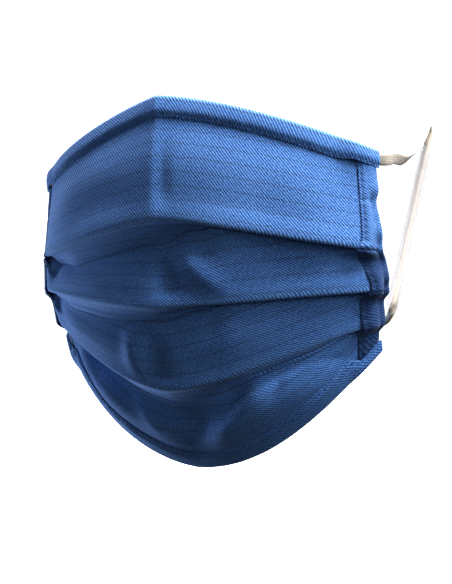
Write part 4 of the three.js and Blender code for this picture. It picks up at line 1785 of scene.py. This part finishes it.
@dataclass
class EarLoop:
    """A flat elastic round the ear gap, with the sleeve threaded on it."""

    side: Side
    channel: SideChannel
    elastic: Material
    sleeve: Material
    wide: float = 4.4
    thick: float = 1.3
    samples: int = 360
    sleeve_diameter: float = 5.0
    sleeve_wall: float = 0.5
    sleeve_rounding: float = 0.12
    squareness: tuple[float, float] = (0.55, 0.75)
    whole_length: float = 0.191

    def channel_spot(self, below: float, away: float, depth: float, panel: int) -> Array:
        """A point in or behind the channel.

        Args:
            below: Millimetres below the fold above.
            away: Millimetres from the border.
            depth: Inward depth.
            panel: Number of the panel.

        Returns:
            The point.
        """
        path = np.array([[away, 0, depth]])
        return self.channel.row_points((panel, "below", below, 0, 0), path)[0]

    def stops(self) -> Array:
        """Every stop as point, direction of its width, width and thickness."""
        sign = self.side.value
        slant, upright = (sign * 0.6, 0.3, 0.74), (0, 0, 1)
        rows = []
        for below, away, depth, leans, wide, thick in LOOP_START:
            spot = self.channel_spot(below, away, depth, 1)
            rows.append((*spot, *(slant if leans else upright), wide, thick))
        for out, back, down, lean, wide, thick in LOOP_ROUTE:
            turn = math.radians(lean)
            across = (sign * math.sin(turn), 0, math.cos(turn))
            rows.append((sign * out / MM, back / MM, -down / MM, *across, wide, thick))
        centre = self.channel.tunnel_centre
        inner = self.channel_spot(5.6, centre, 0, 4)
        outer = self.channel_spot(5.6, 0, 0, 4)
        sideways = unit(outer - inner)
        for below, depth in LOOP_END:
            spot = self.channel_spot(below, centre, depth, 4)
            rows.append((*spot, *sideways, 0.5, 0.8))
        return np.array(rows)

    def make(self) -> list[Object]:
        """Returns:
            The elastic and the sleeve.
        """
        table = through(self.stops(), self.samples)
        centres, across = table[:, :3], unit(table[:, 3:6])
        along = unit(np.gradient(centres, axis=0))
        thin = unit(np.cross(along, across))
        wide = np.cross(thin, along)
        turn = np.linspace(0, 2 * np.pi, 28, endpoint=False)
        squared = np.column_stack([np.cos(turn), np.sin(turn)])
        outline = np.sign(squared) * np.abs(squared) ** np.array(self.squareness)
        made = tube(
            f"ear_loop_{self.side.word}_elastic",
            centres,
            wide * (self.wide / 2 * table[:, 6:7]),
            thin * (self.thick / 2 * table[:, 7:8]),
            outline,
        )
        made.data.materials.append(self.elastic)
        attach(made, ROOT)
        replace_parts(made, f"ear_loop_{self.side.word}")
        sleeve = self.make_sleeve()
        LOG.info("%s is %.1f mm long", made.name, travelled(centres)[-1])
        return [made, sleeve]

    def sleeve_rings(self, outer: float, length: float) -> list[tuple[float, float]]:
        """Outline of the sleeve's wall, once round.

        Args:
            outer: Outer radius.
            length: Length of the sleeve.

        Returns:
            Radius and place along the sleeve of each ring.
        """
        inner, soft = outer - self.sleeve_wall, self.sleeve_rounding
        rings = [(inner, 0), (inner + soft, 0), (outer - soft, 0), (outer, soft)]
        for place in np.linspace(2, length - 2, 40):
            rings.append((outer + 0.03 * math.sin(place * 0.9), place))
        rings += [(outer, length - soft), (outer - soft, length), (inner + soft, length)]
        rings += [(inner, length)]
        return rings + [(inner, place) for place in np.linspace(length - 2, 2, 30)]

    def make_sleeve(self) -> Object:
        """Builds the see-through sleeve as a tube with a bore and flat-cut ends.

        Returns:
            The sleeve.
        """
        sign = self.side.value
        top, bottom = (
            np.array([sign * p[0], p[1], -p[2]]) / MM for p in (SLEEVE_TOP, SLEEVE_BOTTOM)
        )
        along = unit(bottom - top)
        side_way = unit(np.cross(along, [0, 0, 1.0]))
        other = np.cross(side_way, along)
        turn = np.linspace(0, 2 * np.pi, 40, endpoint=False)
        outer = self.sleeve_diameter / 2
        rings = self.sleeve_rings(outer, float(np.linalg.norm(bottom - top)))
        circle = np.cos(turn)[:, None] * side_way + np.sin(turn)[:, None] * other
        points, uv = [], []
        for radius, place in rings:
            points.append(top + along * place + circle * radius)
            uv.append(np.column_stack([turn * outer, np.full(len(turn), place)]) * MM)
        count, sides = len(rings), len(turn)
        index = np.arange(count * sides).reshape(count, sides)
        turned = np.roll(index, -1, axis=1)
        after, turned_after = np.roll(index, -1, axis=0), np.roll(turned, -1, axis=0)
        quads = np.stack([index, turned, turned_after, after], -1).reshape(-1, 4)
        made = mixed_mesh(
            f"ear_sleeve_{self.side.word}_tube",
            np.concatenate(points),
            quads.tolist(),
            np.concatenate(uv),
        )
        made.data.materials.append(self.sleeve)
        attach(made, ROOT)
        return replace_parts(made, f"ear_sleeve_{self.side.word}")


@dataclass
class PhotoCamera:
    """The camera at the photograph's angle and distance."""

    place: tuple[float, float, float] = (0.16665, -0.262, -0.0742)
    azimuth: float = 30
    lens: float = 49.83
    shift: tuple[float, float] = (0.0531, -0.0034)

    def make(self) -> Object:
        """Builds the camera and makes it the scene's.

        Returns:
            The camera.
        """
        data = bpy.data.cameras.new("photo_camera")
        data.lens = self.lens
        data.sensor_width = 36
        data.shift_x, data.shift_y = self.shift
        data.clip_start, data.clip_end = 0.01, 50
        made = linked("photo_camera", data)
        made.location = self.place
        made.rotation_euler = (math.radians(90), 0, math.radians(self.azimuth))
        bpy.context.scene.camera = made
        return made


@dataclass(frozen=True)
class SoftBox:
    """A square studio lamp that points at the mask."""

    name: str
    azimuth: float
    elevation: float
    distance: float
    size: float
    power: float
    tint: tuple[float, float, float] = (1, 1, 1)

    def make(self, target: Vector) -> Object:
        """Builds the lamp.

        Args:
            target: What it points at.

        Returns:
            The lamp.
        """
        turn, rise = math.radians(self.azimuth), math.radians(self.elevation)
        level = math.cos(rise)
        away = Vector((math.sin(turn) * level, -math.cos(turn) * level, math.sin(rise)))
        data = bpy.data.lights.new(self.name, "AREA")
        data.shape = "SQUARE"
        data.size = self.size
        data.energy = self.power
        data.color = self.tint
        made = linked(self.name, data)
        made.location = target + away * self.distance
        made.rotation_mode = "QUATERNION"
        made.rotation_quaternion = (-away).to_track_quat("-Z", "Y")
        return made


@dataclass
class Studio:
    """Pale floor with a raised rim, soft lamps and a dim sky."""

    floor_level: float = -0.156
    floor_radius: float = 1.4
    rim_height: float = 1.1
    rim_round: float = 0.6
    floor_sides: int = 96
    sky: float = 0.03
    target: Vector = field(default_factory=lambda: Vector((0, 0.02, -0.075)))
    lamps: tuple[SoftBox, ...] = (
        SoftBox("rear_key", 120, 85, 1.0, 0.35, 15.0, (1.0, 1.0, 0.96)),
        SoftBox("high_key", 60, 85, 1.0, 0.35, 9.0, (0.85, 0.97, 1.2)),
        SoftBox("rear_side", 110, 65, 1.0, 0.35, 10.0, (1.0, 1.0, 1.0)),
        SoftBox("side_key", 90, 45, 1.0, 0.35, 11.0, (0.88, 1.0, 1.1)),
        SoftBox("low_side", 80, 20, 1.0, 0.35, 2.5, (0.9, 1.0, 1.1)),
        SoftBox("left_fill", -95, 8, 1.0, 0.35, 3.4, (0.62, 0.98, 1.5)),
        SoftBox("left_rim", -105, -24, 1.0, 0.35, 6.2, (0.75, 1.05, 1.5)),
        SoftBox("front_fill", 20, 10, 1.0, 0.35, 1.0),
        SoftBox("rear_fill", 180, 40, 1.2, 0.6, 4.0),
    )

    def make(self) -> None:
        """Builds the floor, the lamps and the sky."""
        self.make_floor()
        for lamp in self.lamps:
            lamp.make(self.target)
        world = bpy.data.worlds.new("studio_sky")
        world.use_nodes = True
        background = world.node_tree.nodes["Background"]
        background.inputs[0].default_value = (0.93, 0.96, 1.0, 1.0)
        background.inputs[1].default_value = self.sky
        bpy.context.scene.world = world

    def make_floor(self) -> Object:
        """Builds the floor, whose rim rises far behind the mask on every side.

        Returns:
            The floor.
        """
        profile = [(r, 0.0) for r in np.linspace(0.02, self.floor_radius, 24)]
        for turn in np.linspace(0, math.pi / 2, 14)[1:]:
            reach = self.floor_radius + self.rim_round * math.sin(turn)
            profile.append((reach, self.rim_round * (1 - math.cos(turn))))
        profile.append((self.floor_radius + self.rim_round, self.rim_height))
        sides = self.floor_sides
        turn = np.linspace(0, 2 * np.pi, sides, endpoint=False)
        points = [(0.0, 0.0, self.floor_level)]
        for reach, rise in profile:
            level = self.floor_level + rise
            points += [(reach * math.cos(t), reach * math.sin(t), level) for t in turn]
        index, quads = ring_faces(len(profile), sides, 1)
        faces = [(0, a, b) for a, b in zip(index[0].tolist(), np.roll(index[0], -1).tolist())]
        faces += quads[:, [0, 3, 2, 1]].tolist()
        mesh = bpy.data.meshes.new("studio_floor")
        mesh.from_pydata(points, [], faces)
        mesh.polygons.foreach_set("use_smooth", np.ones(len(faces), bool))
        made = linked("studio_floor", mesh)
        bench = Bench("studio_paper")
        bench.set(
            Base_Color=(0.9, 0.9, 0.9, 1),
            Roughness=0.9,
            Emission_Color=(1, 1, 1, 1),
            Emission_Strength=0.93,
        )
        mesh.materials.append(bench.material)
        made.visible_diffuse = False
        made.visible_glossy = False
        made.visible_shadow = False
        return made


def main() -> None:
    """Builds every piece in order and reports it."""
    logging.basicConfig(level=logging.INFO, format="%(name)s: %(message)s")
    bpy.context.scene.view_settings.view_transform = "Standard"
    PhotoCamera().make()
    shape = WornShape()
    raised, sunk = colour(104, 158, 228), colour(31, 68, 134)
    pale = colour(156, 200, 240)
    body_cloth = TwillCloth("blue_twill", raised, sunk, pale, row_start=1.6 * MM).make()
    band_cloth = TwillCloth("band_twill", raised, sunk, pale, row_start=3.0 * MM).make()
    strip_cloth = TwillCloth(
        "strip_twill",
        colour(102, 155, 224),
        colour(31, 66, 130),
        pale,
        wale_angle=math.radians(27),
        row_strength=0.0,
    ).make()
    thread = SewingThread("blue_thread", colour(72, 118, 196), colour(24, 50, 106)).make()
    elastic = RibbedElastic(
        "cream_elastic", colour(208, 193, 175), colour(176, 155, 133)
    ).make()
    tube_finish = SoftTube("milky_tube", colour(204, 193, 187)).make()

    channels = {s: SideChannel(s, shape, strip_cloth, thread) for s in Side}
    pieces: list[Object] = []
    for side in Side:
        pieces += EarLoop(side, channels[side], elastic, tube_finish).make()
    cloth = PleatedBody(shape, body_cloth).make()
    trims: list[Object] = []
    for edge in Edge:
        trims += EdgeBand(edge, shape, band_cloth, thread).make()
    for side in Side:
        trims += channels[side].make()
    pieces += [cloth, *trims]
    for piece in pieces:
        LOG.info("%s: %d faces", piece.name, len(piece.data.polygons))
    Studio().make()


if __name__ == "__main__":
    main()
